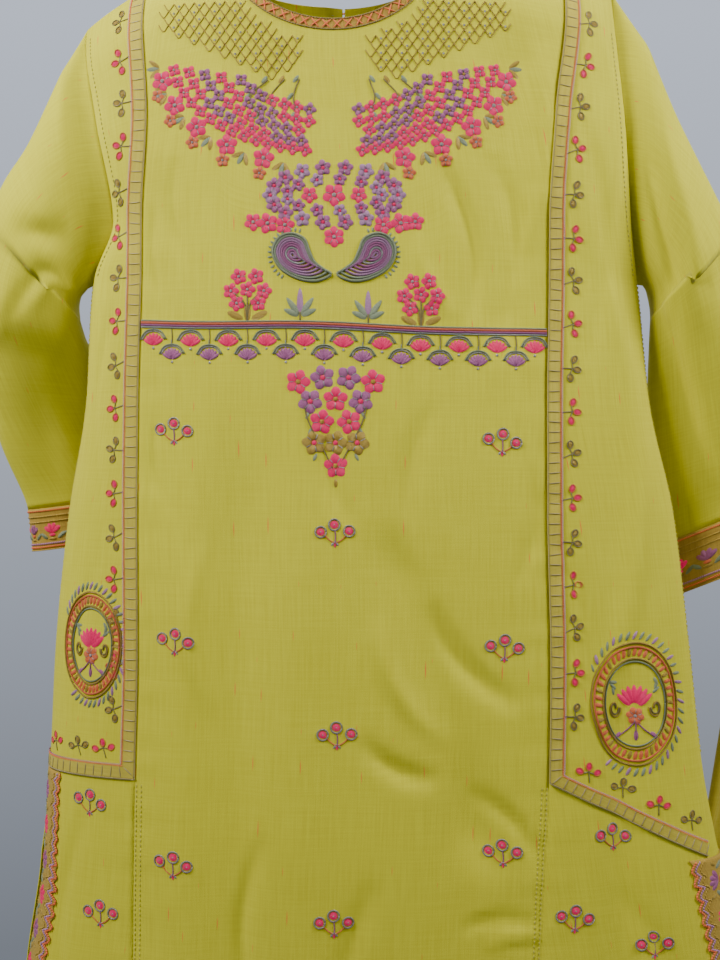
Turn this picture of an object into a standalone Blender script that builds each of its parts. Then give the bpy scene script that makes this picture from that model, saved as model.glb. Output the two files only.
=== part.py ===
"""A straight kurta with princess seams on a hanger, and its flared trousers on a clip hanger, on one rod.

The row origin is the middle of the rod above the kurta. X runs to the viewer's right, Y away, Z up.
Heights on the cloth are given as a drop below the kurta's highest neck point.
"""
import math

import bpy
import numpy as np

# Walls and clearances
WALL = 0.0015
TAPE_WALL = 0.0009
CUFF_WALL = 0.0019
GAP = 0.0003

# Kurta
NECK_POINT_Z = -0.075
HEM_DROP = 0.98
UNDERARM_DROP = 0.233
LADDER_CORNER_DROP = 0.576
LADDER_RUN_FALL = 0.058
TAPE_WIDTH = 0.010
SLIT_BORDER_WIDTH = 0.026
SLIT_SPREAD = 0.010
SLIT_BACK_PEEP = 0.007
SLIT_PEEP_RISE = 5
NECK_CENTRE = -0.008
NECK_HALF_WIDTH = 0.069
NECK_FRONT_DROP = 0.057
NECK_BACK_DROP = 0.020
NECK_BAND_WIDTH = 0.0082
SHOULDER_ROUND = 0.050
ARMHOLE_BOW = 0.020
SECTION_FLATNESS = 0.70
BACK_SLIT_LENGTH = 0.11
BACK_SLIT_WIDTH = 0.0016
BACK_SLIT_OFFSET = 0.006
BACK_SLIT_CUT_ABOVE = 0.02
BACK_SLIT_CUT_DEPTH = 0.08
CUTTER_NAME = "slit_cutter"
BUTTON_OFFSET = 0.0055
BUTTON_RADIUS = 0.0045
BUTTON_HEIGHT = 0.0042
BUTTON_SIDES = 14
BUTTON_NECK = 0.45
BUTTON_LEVELS = ((0.0, BUTTON_NECK), (0.35, BUTTON_NECK), (0.5, 1.0), (0.8, 0.85), (1.0, 0.35))
LOOP_WIRE = 0.0007
LOOP_LENGTH = 0.012
LOOP_STEPS = 12
LOOP_TURN = (math.radians(60), math.radians(300))

# Shoulder seams: side, X and drop of the neck end, X and drop of the sleeve end, and how late the line falls
SHOULDERS = (
    ("left", -0.085, 0.003, -0.188, 0.0485, 1.7),
    ("right", 0.069, -0.003, 0.192, 0.020, 1.5),
)

# Sections of the body. Edges and seams are X, the depths are Y.
BODY_COLUMNS = ("drop", "left", "left_seam", "right_seam", "right", "left_y", "right_y", "front_y", "back_y")
BODY_ROWS = (
    (-0.01, -0.188, -0.140, 0.155, 0.192, 0.000, 0.000, -0.042, 0.036),
    (0.05, -0.188, -0.1415, 0.154, 0.193, 0.000, 0.000, -0.045, 0.038),
    (0.12, -0.177, -0.138, 0.146, 0.198, 0.000, 0.000, -0.045, 0.040),
    (0.19, -0.1655, -0.142, 0.142, 0.204, 0.000, 0.000, -0.045, 0.040),
    (0.233, -0.182, -0.1425, 0.142, 0.2105, 0.000, 0.000, -0.045, 0.040),
    (0.32, -0.189, -0.145, 0.1406, 0.2195, 0.008, 0.000, -0.045, 0.040),
    (0.40, -0.204, -0.1457, 0.1406, 0.2375, 0.020, 0.002, -0.045, 0.042),
    (0.50, -0.216, -0.1452, 0.1425, 0.2495, 0.030, 0.003, -0.046, 0.046),
    (0.58, -0.2205, -0.147, 0.1415, 0.2585, 0.034, 0.004, -0.047, 0.048),
    (0.66, -0.2245, -0.1478, 0.137, 0.274, 0.034, 0.005, -0.048, 0.048),
    (0.74, -0.236, -0.148, 0.134, 0.291, 0.034, 0.006, -0.048, 0.046),
    (0.98, -0.255, -0.150, 0.130, 0.312, 0.032, 0.006, -0.049, 0.044),
)

# Largest folds: face, X at the top and low end, their drops, half width and depth into the cloth
FOLD_END_FADE = 6
FOLDS = (
    ("front", -0.076, -0.082, 0.30, 1.10, 0.020, 0.0060),
    ("front", -0.115, -0.122, 0.34, 1.10, 0.016, -0.0035),
    ("front", -0.035, -0.034, 0.34, 1.10, 0.022, -0.0030),
    ("front", 0.118, 0.112, 0.05, 0.30, 0.018, 0.0050),
    ("front", 0.030, 0.100, 0.40, 0.66, 0.017, 0.0045),
    ("front", 0.070, 0.125, 0.55, 1.10, 0.022, 0.0045),
    ("front", 0.190, 0.196, 0.26, 1.10, 0.013, 0.0065),
    ("back", -0.090, -0.110, 0.20, 1.10, 0.024, 0.0060),
    ("back", 0.020, 0.030, 0.30, 1.10, 0.026, -0.0050),
    ("back", 0.110, 0.140, 0.16, 1.10, 0.022, 0.0060),
)

# Sleeves: outer and inner edge of each ring and its half depth; the last two rows hold the cuff
SLEEVE_COLUMNS = ("outer_x", "outer_y", "outer_drop", "inner_x", "inner_y", "inner_drop", "half_depth")
LEFT_SLEEVE = (
    (-0.2053, 0.000, 0.0792, -0.190, 0.002, 0.2365, 0.030),
    (-0.2293, 0.000, 0.1316, -0.196, 0.005, 0.243, 0.036),
    (-0.2519, 0.000, 0.1688, -0.198, 0.012, 0.252, 0.039),
    (-0.2700, 0.002, 0.2446, -0.196, 0.026, 0.270, 0.038),
    (-0.2698, 0.010, 0.2873, -0.181, 0.048, 0.300, 0.030),
    (-0.2590, 0.024, 0.3466, -0.157, 0.077, 0.344, 0.021),
    (-0.2420, 0.038, 0.3983, -0.131, 0.090, 0.382, 0.018),
    (-0.2390, 0.041, 0.4300, -0.128, 0.092, 0.4137, 0.018),
)
RIGHT_SLEEVE = (
    (0.2175, -0.002, 0.0600, 0.2180, 0.002, 0.2335, 0.030),
    (0.2348, -0.004, 0.1061, 0.2225, 0.004, 0.240, 0.036),
    (0.2727, -0.006, 0.1826, 0.2250, 0.010, 0.252, 0.040),
    (0.2960, -0.008, 0.2300, 0.2260, 0.018, 0.275, 0.038),
    (0.3200, -0.010, 0.2883, 0.2270, 0.028, 0.320, 0.032),
    (0.3382, -0.010, 0.3393, 0.2290, 0.036, 0.375, 0.026),
    (0.3516, -0.008, 0.3735, 0.2330, 0.043, 0.4287, 0.021),
    (0.3560, -0.008, 0.4133, 0.2384, 0.043, 0.4693, 0.020),
)
SLEEVE_RINGS = 11
CUFF_RINGS = 2

# Grid of the body: cells between the named lines, and where the upper rows lie between underarm and top
HEM_CELLS = 5
WAIST_CELLS = 5
UPPER_SHARES = (0.0, 0.2, 0.4, 0.58, 0.74, 0.87, 0.96, 1.0)
SIDE_MIDDLE_SHARES = (0.5,)
NECK_CELLS = 8
BACK_CELLS = (5, 4, 4, 5)
COLUMN_LEVELS = 50
COLUMN_ROUNDS = 3
MIDDLE_DROP = 0.5
SECTION_SAMPLES = 24
RIM_ORDER = (1.0, 0.37, 0.73)

# Hangers and rod
ROD_RADIUS = 0.010
ROD_ENDS = (-0.13, 0.67)
ARM_RADIUS = 0.0055
ARM_REACH = 0.030
ARM_CLEARANCE = 0.0028
HOOK_WIRE = 0.0018
HOOK_RADIUS = 0.017
HOOK_START_ANGLE = math.radians(-55)
HOOK_TIP_ANGLE = math.radians(200)
HOOK_STEPS = 18
HOOK_STEM_DROP = 1.5
HOOK_BEND = 0.004
BAR_STEPS = 24
BAR_CREST = 0.010
BAR_CREST_REACH = 0.75

# Trousers
TROUSER_CENTRE = 0.533
WAIST_Z = -0.120
WAISTBAND_HEIGHT = 0.036
WAIST_HALF_WIDTH = 0.165
WAIST_HALF_DEPTH = 0.016
CROTCH_Z = -0.415
TROUSER_HEM_Z = -1.050
TROUSER_HEM_OUTER = 0.3035
TROUSER_HEM_INNER = 0.012
TROUSER_HEM_HALF_DEPTH = 0.020
LEG_COLUMNS = 20
LEG_ROWS = 12
WAIST_GATHERS = 26
WAIST_GATHER_DEPTH = 0.0012
TILT_COLUMNS = ("z", "y")
TILT_ROWS = ((-1.10, 0.066), (-0.70, 0.062), (-0.50, 0.056), (-0.35, 0.038), (-0.16, 0.0), (-0.05, 0.0))
WAIST_GATHER_COLUMNS = 6
WAIST_FLATNESS = 0.6
CROTCH_CURVE = 0.7
CROTCH_DEPTH = 1.1
HEM_DRAPE = 0.006
HEM_WAVES = 5
HEM_TURNS = {"left": 0.0, "right": 1.1}
CLIP_OFFSET = 0.115
CLIP_WIDTH = 0.028
CLIP_JAW = 0.0035
CLIP_JAW_REACH = 0.020
CLIP_BAR_Z = -0.098
CLIP_BAR_RADIUS = 0.0045
CLIP_BAR_PAST = 0.035


def clear_scene():
    for thing in list(bpy.data.objects):
        bpy.data.objects.remove(thing, do_unlink=True)


def material(name, colour, roughness, metallic=0.0):
    finish = bpy.data.materials.new(name)
    finish.use_nodes = True
    shader = finish.node_tree.nodes["Principled BSDF"]
    shader.inputs["Base Color"].default_value = (*colour, 1.0)
    shader.inputs["Roughness"].default_value = roughness
    shader.inputs["Metallic"].default_value = metallic
    return finish


def smooth(columns, rows, name, at):
    """A named column at any height, on a curve that never overshoots its rows."""
    keys = np.array([row[0] for row in rows])
    values = np.array([row[columns.index(name)] for row in rows])
    steps = np.diff(values) / np.diff(keys)
    before, after = steps[:-1], steps[1:]
    total = before + after
    inner = np.where(before * after > 0, 2 * before * after / np.where(total == 0, 1, total), 0)
    slopes = np.concatenate([steps[:1], inner, steps[-1:]])
    cell = np.clip(np.searchsorted(keys, at) - 1, 0, len(keys) - 2)
    height = keys[cell + 1] - keys[cell]
    t = np.clip((at - keys[cell]) / height, 0, 1)
    start = (1 + 2 * t) * (1 - t) ** 2 * values[cell] + t * (1 - t) ** 2 * height * slopes[cell]
    end = t * t * (3 - 2 * t) * values[cell + 1] + t * t * (t - 1) * height * slopes[cell + 1]
    return start + end


def body(name, drop):
    return float(smooth(BODY_COLUMNS, BODY_ROWS, name, drop))


def unit(vectors):
    return vectors / np.maximum(np.linalg.norm(vectors, axis=-1, keepdims=True), 1e-12)


def shoulder_drop(x):
    """Drop of the shoulder line, carried on level across the neck."""
    side = SHOULDERS[0] if x < NECK_CENTRE else SHOULDERS[1]
    _, neck_x, neck_drop, end_x, end_drop, power = side
    along = max((x - neck_x) / (end_x - neck_x), 0.0)
    return neck_drop + (end_drop - neck_drop) * along ** power


def neck_drop(x, half_width, depth):
    """Drop of a neckline, a half ellipse that starts on the shoulder line."""
    across = min(abs(x - NECK_CENTRE) / half_width, 1.0)
    start = shoulder_drop(x)
    return start + (depth - start) * math.sqrt(1 - across ** 2)


def run_drop(x):
    """Drop of the ladder tape's lower run, and of the same line on the other panels."""
    seam = body("right_seam", LADDER_CORNER_DROP)
    edge = body("right", LADDER_CORNER_DROP)
    return LADDER_CORNER_DROP + LADDER_RUN_FALL * min(max((x - seam) / (edge - seam), 0.0), 1.0)


def fold_depth(face, x, drop):
    """How far the large folds push the cloth inwards."""
    total = 0.0
    for fold_face, top_x, low_x, top_drop, low_drop, width, depth in FOLDS:
        along = (drop - top_drop) / (low_drop - top_drop)
        if fold_face == face and 0 < along < 1:
            middle = top_x + (low_x - top_x) * along
            fade = min(1.0, FOLD_END_FADE * along, FOLD_END_FADE * (1 - along) if low_drop < HEM_DROP else 1.0)
            total += depth * fade * math.exp(-((x - middle) / width) ** 2)
    return total


def slit_share(x, drop):
    """How far down its slit a place lies: 0 at the ladder tape's run, 1 at the hem."""
    return min(max((drop - run_drop(x)) / (HEM_DROP - LADDER_CORNER_DROP), 0.0), 1.0)


def back_peep(share):
    """How far the back reaches past the front beside a slit."""
    return SLIT_BACK_PEEP * min(1.0, SLIT_PEEP_RISE * share)


def body_point(face, x, drop):
    """A point on the middle of the cloth of the front or back."""
    sign = -1 if face == "front" else 1
    side = "left" if x < 0 else "right"
    below_slit = slit_share(x, drop)
    reach = abs(body(side, drop)) + (back_peep(below_slit) if face == "back" else 0.0)
    end_drop = SHOULDERS[0][4] if side == "left" else SHOULDERS[1][4]
    armhole = math.sin(math.pi * min(max((drop - end_drop) / (UNDERARM_DROP - end_drop), 0.0), 1.0))
    edge_y = body(side + "_y", drop) + sign * (ARMHOLE_BOW * armhole + SLIT_SPREAD * below_slit)
    bulge = math.sqrt(max(1 - (x / reach) ** 2, 0.0)) ** SECTION_FLATNESS
    y = edge_y + (body(face + "_y", drop) - edge_y) * bulge - sign * fold_depth(face, x, drop) * bulge
    from_top = min(max((drop - shoulder_drop(x)) / SHOULDER_ROUND, 0.0), 1.0)
    return (x, y * math.sqrt(1 - (1 - from_top) ** 2), NECK_POINT_Z - drop)


def side_columns(side, drop):
    """X of a side front's columns, from its seam to its edge, spaced along the cloth."""
    sign = -1 if side == "left" else 1
    reach = abs(body(side, drop))
    seam = abs(body(side + "_seam", drop))
    angles = np.linspace(math.asin(min(seam / reach, 1.0)), math.pi / 2, SECTION_SAMPLES)
    across = reach * np.sin(angles)
    points = np.array([body_point("front", sign * min(x, reach), drop) for x in across])
    length = np.concatenate([[0], np.cumsum(np.linalg.norm(np.diff(points, axis=0), axis=1))])
    tape = min(TAPE_WIDTH, 0.3 * length[-1])
    border = min(SLIT_BORDER_WIDTH, 0.4 * length[-1])
    stretch = length[-1] - tape - border
    marks = [0.0, tape] + [tape + stretch * share for share in SIDE_MIDDLE_SHARES]
    marks += [length[-1] - border, length[-1] - border / 2, length[-1]]
    return [sign * float(np.interp(mark, length, across)) for mark in marks]


def front_columns(drop):
    """X of every column of the front, from the left edge to the right edge."""
    left, right = side_columns("left", drop), side_columns("right", drop)
    top_left, top_right = body("left_seam", 0.0), body("right_seam", 0.0)
    outer = NECK_HALF_WIDTH + NECK_BAND_WIDTH
    neck = [NECK_CENTRE - outer * math.cos(math.pi * i / NECK_CELLS) for i in range(NECK_CELLS + 1)]
    marks = [(top_left + neck[0]) / 2] + neck + [(top_right * 2 + neck[-1]) / 3, (top_right + neck[-1] * 2) / 3]
    marks = sorted(marks)
    shares = [(mark - top_left) / (top_right - top_left) for mark in marks]
    middle = [left[0] + (right[0] - left[0]) * share for share in shares]
    return left[::-1] + middle + right


def back_columns(drop):
    """X of every column of the back, spaced by angle so that they crowd towards the edges."""
    points = (NECK_CENTRE - NECK_HALF_WIDTH, NECK_CENTRE, NECK_CENTRE + NECK_HALF_WIDTH)
    angles = [-math.pi / 2]
    for x, cells in zip(points, BACK_CELLS):
        reach = abs(SHOULDERS[0][3] if x < 0 else SHOULDERS[1][3])
        angles += list(np.linspace(angles[-1], math.asin(x / reach), cells + 1)[1:])
    angles += list(np.linspace(angles[-1], math.pi / 2, BACK_CELLS[-1] + 1)[1:])
    edges = [body(side, drop) for side in ("left", "right")]
    left, right = (abs(edge) + back_peep(slit_share(edge, drop)) for edge in edges)
    return [(left if angle < 0 else right) * math.sin(angle) for angle in angles]


def top_drop(face, x):
    """Where a panel ends at the top: the shoulder line, or the neckline between."""
    half_width, depth = NECK_HALF_WIDTH, NECK_BACK_DROP
    if face == "front":
        half_width, depth = NECK_HALF_WIDTH + NECK_BAND_WIDTH, NECK_FRONT_DROP + NECK_BAND_WIDTH
    return neck_drop(x, half_width, depth)


def column_places(face):
    """A function that gives X of every column at any drop, read from levels a short step apart."""
    levels = np.linspace(SHOULDERS[1][2], HEM_DROP, COLUMN_LEVELS)
    columns = front_columns if face == "front" else back_columns
    places = np.array([columns(level) for level in levels])
    return lambda drop: [float(np.interp(drop, levels, column)) for column in places.T]


def body_grid(face):
    """Points of the whole front or back, rows from hem to top, columns from left to right."""
    columns = column_places(face)
    count = len(columns(MIDDLE_DROP))
    grid = []
    rows = HEM_CELLS + 1 + WAIST_CELLS + len(UPPER_SHARES)
    for row in range(rows):
        line = []
        for column in range(count):
            drop = MIDDLE_DROP
            for _ in range(COLUMN_ROUNDS):
                x = columns(drop)[column]
                run = run_drop(x)
                if row <= HEM_CELLS:
                    drop = HEM_DROP + (run + TAPE_WIDTH - HEM_DROP) * row / HEM_CELLS
                elif row <= HEM_CELLS + 1 + WAIST_CELLS:
                    drop = run + (UNDERARM_DROP - run) * (row - HEM_CELLS - 1) / WAIST_CELLS
                else:
                    top = top_drop(face, columns(0.0 if 0 < column < count - 1 else drop)[column])
                    if column in (0, count - 1):
                        top = SHOULDERS[0 if column == 0 else 1][4]
                    share = UPPER_SHARES[row - HEM_CELLS - 1 - WAIST_CELLS]
                    drop = UNDERARM_DROP + (top - UNDERARM_DROP) * share
            x = columns(drop)[column]
            line.append(body_point(face, x, drop))
        grid.append(line)
    return np.array(grid)


def grid_normals(points, outward, ring=False):
    """Unit normals of a grid of points, turned to the side that outward gives."""
    if ring:
        across = np.roll(points, -1, axis=1) - np.roll(points, 1, axis=1)
    else:
        across = np.gradient(points, axis=1)
    along = np.gradient(points, axis=0)
    normals = unit(np.cross(across, along))
    return normals * np.sign(np.sum(normals * outward, axis=-1, keepdims=True) + 1e-9)


def wall(name, points, normals, thickness, finish, cells=None, ring=False):
    """A closed cloth wall along a grid of points, over the cells that are asked for.

    A twisted rim is split along the diagonal that RIM_ORDER picks, so two rims at a seam match.
    """
    rows, columns = points.shape[:2]
    across = columns if ring else columns - 1
    if cells is None:
        cells = np.ones((rows - 1, across), bool)
    layers = (points + normals * thickness / 2, points - normals * thickness / 2)
    vertices, index = [], {}

    def vertex(layer, row, column):
        key = (layer, row, column % columns)
        if key not in index:
            index[key] = len(vertices)
            vertices.append(tuple(layers[layer][row, column % columns]))
        return index[key]

    faces = []
    for row, column in zip(*np.nonzero(cells)):
        corners = [(row, column), (row, column + 1), (row + 1, column + 1), (row + 1, column)]
        for half in ((0, 1, 2), (0, 2, 3)):
            faces.append([vertex(0, *corners[i]) for i in half])
            faces.append([vertex(1, *corners[i]) for i in reversed(half)])
        neighbours = ((row - 1, column), (row, column + 1), (row + 1, column), (row, column - 1))
        for side, (next_row, next_column) in enumerate(neighbours):
            if ring:
                next_column %= across
            inside = 0 <= next_row < rows - 1 and 0 <= next_column < across
            if inside and cells[next_row, next_column]:
                continue
            first, second = corners[side], corners[(side + 1) % 4]
            rim = [vertex(1, *first), vertex(1, *second), vertex(0, *second), vertex(0, *first)]
            rise = points[second[0], second[1] % columns] - points[first[0], first[1] % columns]
            turn = 0 if np.dot(rise, RIM_ORDER) > 0 else 1
            rim = rim[turn:] + rim[:turn]
            faces += [[rim[0], rim[1], rim[2]], [rim[0], rim[2], rim[3]]]
    mesh = bpy.data.meshes.new(name)
    mesh.from_pydata(vertices, [], faces)
    middle = tuple(np.argwhere(cells)[0])
    first = vertex(0, *middle), vertex(0, middle[0], middle[1] + 1), vertex(0, middle[0] + 1, middle[1])
    a, b, c = (np.array(vertices[i]) for i in first)
    if np.dot(np.cross(b - a, c - a), normals[middle]) < 0:
        mesh.flip_normals()
    return place(name, mesh, finish)


def place(name, mesh, finish):
    mesh.materials.append(finish)
    mesh.shade_smooth()
    mesh.set_sharp_from_angle(angle=math.radians(40))
    piece = bpy.data.objects.new(name, mesh)
    bpy.context.scene.collection.objects.link(piece)
    return piece


def drawn_in(points, left=False, right=False, low=False, top=False):
    """The same grid with half a seam gap taken off its sewn edges."""
    moved = points.copy()
    if left:
        moved[:, 0] += unit(points[:, 1] - points[:, 0]) * GAP / 2
    if right:
        moved[:, -1] += unit(points[:, -2] - points[:, -1]) * GAP / 2
    if low:
        moved[0] += unit(points[1] - points[0]) * GAP / 2
    if top:
        moved[-1] += unit(points[-2] - points[-1]) * GAP / 2
    return moved


def sleeve_rings(table, start, rings):
    """Rings of a sleeve from its armhole loop, then from the table's outer and inner edges."""
    keys = np.arange(1, len(table) + 1, dtype=float)
    rows = [(key, *row) for key, row in zip(keys, table)]
    columns = ("key",) + SLEEVE_COLUMNS
    angles = 2 * math.pi * np.arange(len(start)) / len(start)
    result = []
    for key in rings:
        value = {name: float(smooth(columns, rows, name, key)) for name in SLEEVE_COLUMNS}
        outer = np.array([value["outer_x"], value["outer_y"], NECK_POINT_Z - value["outer_drop"]])
        inner = np.array([value["inner_x"], value["inner_y"], NECK_POINT_Z - value["inner_drop"]])
        arm = (outer - inner) / 2
        level = abs(arm[0]) > abs(arm[2])
        depth = unit(np.array([-arm[1], arm[0], 0.0])) if level else np.array([0.0, -1.0, 0.0])
        depth = depth * (-1 if depth[1] > 0 else 1)
        depth = unit(depth - arm * np.dot(depth, arm) / np.dot(arm, arm))
        wave = value["half_depth"] * np.sin(angles)[:, None] * depth
        result.append((outer + inner) / 2 + np.cos(angles)[:, None] * arm + wave)
    return np.array(result)


def tube_outward(points):
    return unit(points - points.mean(axis=1, keepdims=True))


def sleeve_grid(side, front, back):
    """The sleeve's armhole loop and rings, to the end of the cuff."""
    edge = 0 if side == "left" else -1
    first = HEM_CELLS + 1 + WAIST_CELLS
    front_edge, back_edge = front[first:, edge][::-1], back[first:, edge][::-1]
    loop = np.concatenate([front_edge, back_edge[::-1][1:-1]])
    table = LEFT_SLEEVE if side == "left" else RIGHT_SLEEVE
    last = len(table) - 1
    keys = list(np.linspace(1, last, SLEEVE_RINGS)) + list(np.linspace(last, last + 1, CUFF_RINGS + 1))[1:]
    return np.concatenate([loop[None], sleeve_rings(table, loop, keys)])


def share_normals(pairs):
    """Give vertices that meet at a seam the same normal."""
    for places in pairs:
        mean = unit(sum(array[index] for array, index in places))
        for array, index in places:
            array[index] = mean


def join_normals(front_n, back_n, sleeves):
    first = HEM_CELLS + 1 + WAIST_CELLS
    rows = front_n.shape[0]
    for edge, sleeve_n in ((0, sleeves["left"]), (-1, sleeves["right"])):
        pairs = [[(front_n, (row, edge)), (back_n, (row, edge))] for row in range(first)]
        half = rows - 1 - first
        count = sleeve_n.shape[1]
        for step in range(1, half):
            pairs.append([(front_n, (rows - 1 - step, edge)), (sleeve_n, (0, step))])
            pairs.append([(back_n, (rows - 1 - step, edge)), (sleeve_n, (0, count - step))])
        for step, row in ((0, rows - 1), (half, first)):
            pairs.append([(front_n, (row, edge)), (back_n, (row, edge)), (sleeve_n, (0, step))])
        share_normals(pairs)


def level_shoulders(points, normals):
    """Turn the normals on the shoulder seams straight up from the seam."""
    for column in range(points.shape[1]):
        if abs(points[-1, column, 1]) < 1e-6:
            before, after = points[-1, max(column - 1, 0)], points[-1, min(column + 1, points.shape[1] - 1)]
            slope = after - before if abs(before[1]) + abs(after[1]) < 1e-6 else None
            if slope is None:
                near = before if abs(before[1]) < 1e-6 else after
                slope = (points[-1, column] - near) * (1 if near is before else -1)
            normals[-1, column] = unit(np.array([-slope[2], 0.0, slope[0]]))


def make_kurta(cloth, ladder, border):
    """The kurta's panels, sleeves, cuffs, band and tapes."""
    front, back = body_grid("front"), body_grid("back")
    front_n, back_n = grid_normals(front, (0, -1, 0)), grid_normals(back, (0, 1, 0))
    level_shoulders(front, front_n)
    level_shoulders(back, back_n)
    sleeves = {side: sleeve_grid(side, front, back) for side in ("left", "right")}
    sleeve_n = {side: grid_normals(grid, tube_outward(grid), ring=True) for side, grid in sleeves.items()}
    join_normals(front_n, back_n, sleeve_n)

    side_count = len(side_columns("left", MIDDLE_DROP))
    left_seam, right_seam = side_count - 1, front.shape[1] - side_count
    panels = (("side_front_left", 0, left_seam), ("front_centre", left_seam, right_seam),
              ("side_front_right", right_seam, front.shape[1] - 1))
    for name, start, end in panels:
        part = drawn_in(front[:, start:end + 1], left=True, right=True, top=True)
        wall(name, part, front_n[:, start:end + 1], WALL, cloth)
    rear = wall("back", drawn_in(back, left=True, right=True, top=True), back_n, WALL, cloth)
    cut_back_slit(rear)

    for side, grid in sleeves.items():
        normals = sleeve_n[side]
        tube = drawn_in(grid[:SLEEVE_RINGS + 1], low=True, top=True)
        cuff = drawn_in(grid[SLEEVE_RINGS:], low=True)
        wall("sleeve_" + side, tube, normals[:SLEEVE_RINGS + 1], WALL, cloth, ring=True)
        wall("cuff_" + side, cuff, normals[SLEEVE_RINGS:], CUFF_WALL, border, ring=True)
        make_tapes(side, front, front_n, left_seam if side == "left" else right_seam, ladder, border)
    make_neck_band(front, front_n, border)


def make_tapes(side, front, normals, seam, ladder, border):
    """The L-shaped ladder tape beside the seam, and the border down the slit, both on the panel."""
    lift = (WALL + TAPE_WALL) / 2 + GAP
    points = front + normals * lift
    cells = np.zeros((front.shape[0] - 1, front.shape[1] - 1), bool)
    beside = seam - 1 if side == "left" else seam
    cells[HEM_CELLS:, beside] = True
    run = slice(0, seam) if side == "left" else slice(seam, None)
    cells[HEM_CELLS, run] = True
    inset = points.copy()
    inset[-1] += unit(points[-2] - points[-1]) * (WALL / 2 + GAP)
    edge = 0 if side == "left" else -1
    next_in = 1 if side == "left" else -2
    inset[:, edge] += unit(points[:, next_in] - points[:, edge]) * (WALL + GAP)
    wall("ladder_tape_" + side, inset, normals, TAPE_WALL, ladder, cells)

    low = slice(0, 3) if side == "left" else slice(front.shape[1] - 3, front.shape[1])
    strip = drawn_in(inset[:HEM_CELLS + 1, low], top=True)
    strip[-1] += unit(strip[-2] - strip[-1]) * GAP
    wall("slit_border_" + side, strip, normals[:HEM_CELLS + 1, low], TAPE_WALL, border)


def make_neck_band(front, normals, finish):
    """The band inside the front neckline, from shoulder seam to shoulder seam."""
    centre = [c for c in range(front.shape[1])
              if abs(front[-1, c, 0] - NECK_CENTRE) <= NECK_HALF_WIDTH + NECK_BAND_WIDTH + 1e-4]
    outer, outer_n = front[-1, centre], normals[-1, centre]
    inner = []
    for point in outer:
        share = (point[0] - NECK_CENTRE) / (NECK_HALF_WIDTH + NECK_BAND_WIDTH)
        x = NECK_CENTRE + NECK_HALF_WIDTH * min(max(share, -1.0), 1.0)
        inner.append(body_point("front", x, neck_drop(x, NECK_HALF_WIDTH, NECK_FRONT_DROP)))
    grid = np.array([outer, np.array(inner)])
    grid_n = np.array([outer_n, outer_n])
    grid = drawn_in(grid, low=True)
    grid[:, 0, 1] -= GAP
    grid[:, -1, 1] -= GAP
    wall("neck_band", grid, grid_n, WALL, finish)


def cut_back_slit(rear):
    """Cut the narrow opening down the middle of the back neck."""
    top = NECK_POINT_Z - NECK_BACK_DROP + BACK_SLIT_CUT_ABOVE
    low = NECK_POINT_Z - NECK_BACK_DROP - BACK_SLIT_LENGTH
    half = BACK_SLIT_WIDTH / 2
    outline = ((-half, top), (-half, low + half), (0.0, low), (half, low + half), (half, top))
    vertices = [(NECK_CENTRE + BACK_SLIT_OFFSET + x, y, z)
                for y in (0.0, BACK_SLIT_CUT_DEPTH) for x, z in outline]
    count = len(outline)
    faces = [tuple(range(count)), tuple(reversed(range(count, 2 * count)))]
    faces += [(i, i + count, (i + 1) % count + count, (i + 1) % count) for i in range(count)]
    mesh = bpy.data.meshes.new(CUTTER_NAME)
    mesh.from_pydata(vertices, [], faces)
    mesh.update()
    cutter = bpy.data.objects.new(CUTTER_NAME, mesh)
    bpy.context.scene.collection.objects.link(cutter)
    cutter.hide_render = True
    cutter.display_type = "WIRE"
    cut = rear.modifiers.new("slit", "BOOLEAN")
    cut.operation = "DIFFERENCE"
    cut.solver = "EXACT"
    cut.object = cutter


def tube(name, path, radius, finish, sides=2):
    """A round bar along a list of points."""
    curve = bpy.data.curves.new(name, "CURVE")
    curve.dimensions = "3D"
    curve.bevel_depth = radius
    curve.bevel_resolution = sides
    curve.use_fill_caps = True
    line = curve.splines.new("POLY")
    line.points.add(len(path) - 1)
    for point, place_at in zip(line.points, path):
        point.co = (*place_at, 1.0)
    curve.materials.append(finish)
    piece = bpy.data.objects.new(name, curve)
    bpy.context.scene.collection.objects.link(piece)
    return piece


def make_hook(name, x, low_z, finish):
    """A wire hook in the plane across the rod, its inner top 0.3 mm above the rod."""
    centre_z = ROD_RADIUS + GAP - (HOOK_RADIUS - HOOK_WIRE)
    stem_top = centre_z - HOOK_RADIUS * HOOK_STEM_DROP
    path = [(x, 0.0, low_z), (x, 0.0, stem_top - HOOK_BEND), (x, HOOK_BEND / 2, stem_top + HOOK_BEND)]
    for i in range(HOOK_STEPS + 1):
        angle = HOOK_START_ANGLE + (HOOK_TIP_ANGLE - HOOK_START_ANGLE) * i / HOOK_STEPS
        path.append((x, HOOK_RADIUS * math.cos(angle), centre_z + HOOK_RADIUS * math.sin(angle)))
    tube(name, path, HOOK_WIRE, finish, sides=1)


def make_kurta_hanger(wood, steel):
    """The hanger's two arms as one bar under the shoulder seams, and its hook."""
    ends = (SHOULDERS[0][3] + ARM_REACH, SHOULDERS[1][3] - ARM_REACH)
    path = []
    for i in range(BAR_STEPS + 1):
        x = ends[0] + (ends[1] - ends[0]) * i / BAR_STEPS
        lift = BAR_CREST * max(0.0, 1 - (abs(x - NECK_CENTRE) / (NECK_HALF_WIDTH * BAR_CREST_REACH)) ** 2)
        path.append((x, 0.0, NECK_POINT_Z - shoulder_drop(x) - WALL / 2 - ARM_RADIUS - ARM_CLEARANCE + lift))
    tube("hanger_bar", path, ARM_RADIUS, wood)
    middle = min(path, key=lambda point: abs(point[0]))
    make_hook("hanger_hook", middle[0], middle[2] + ARM_RADIUS + GAP, steel)


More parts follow.
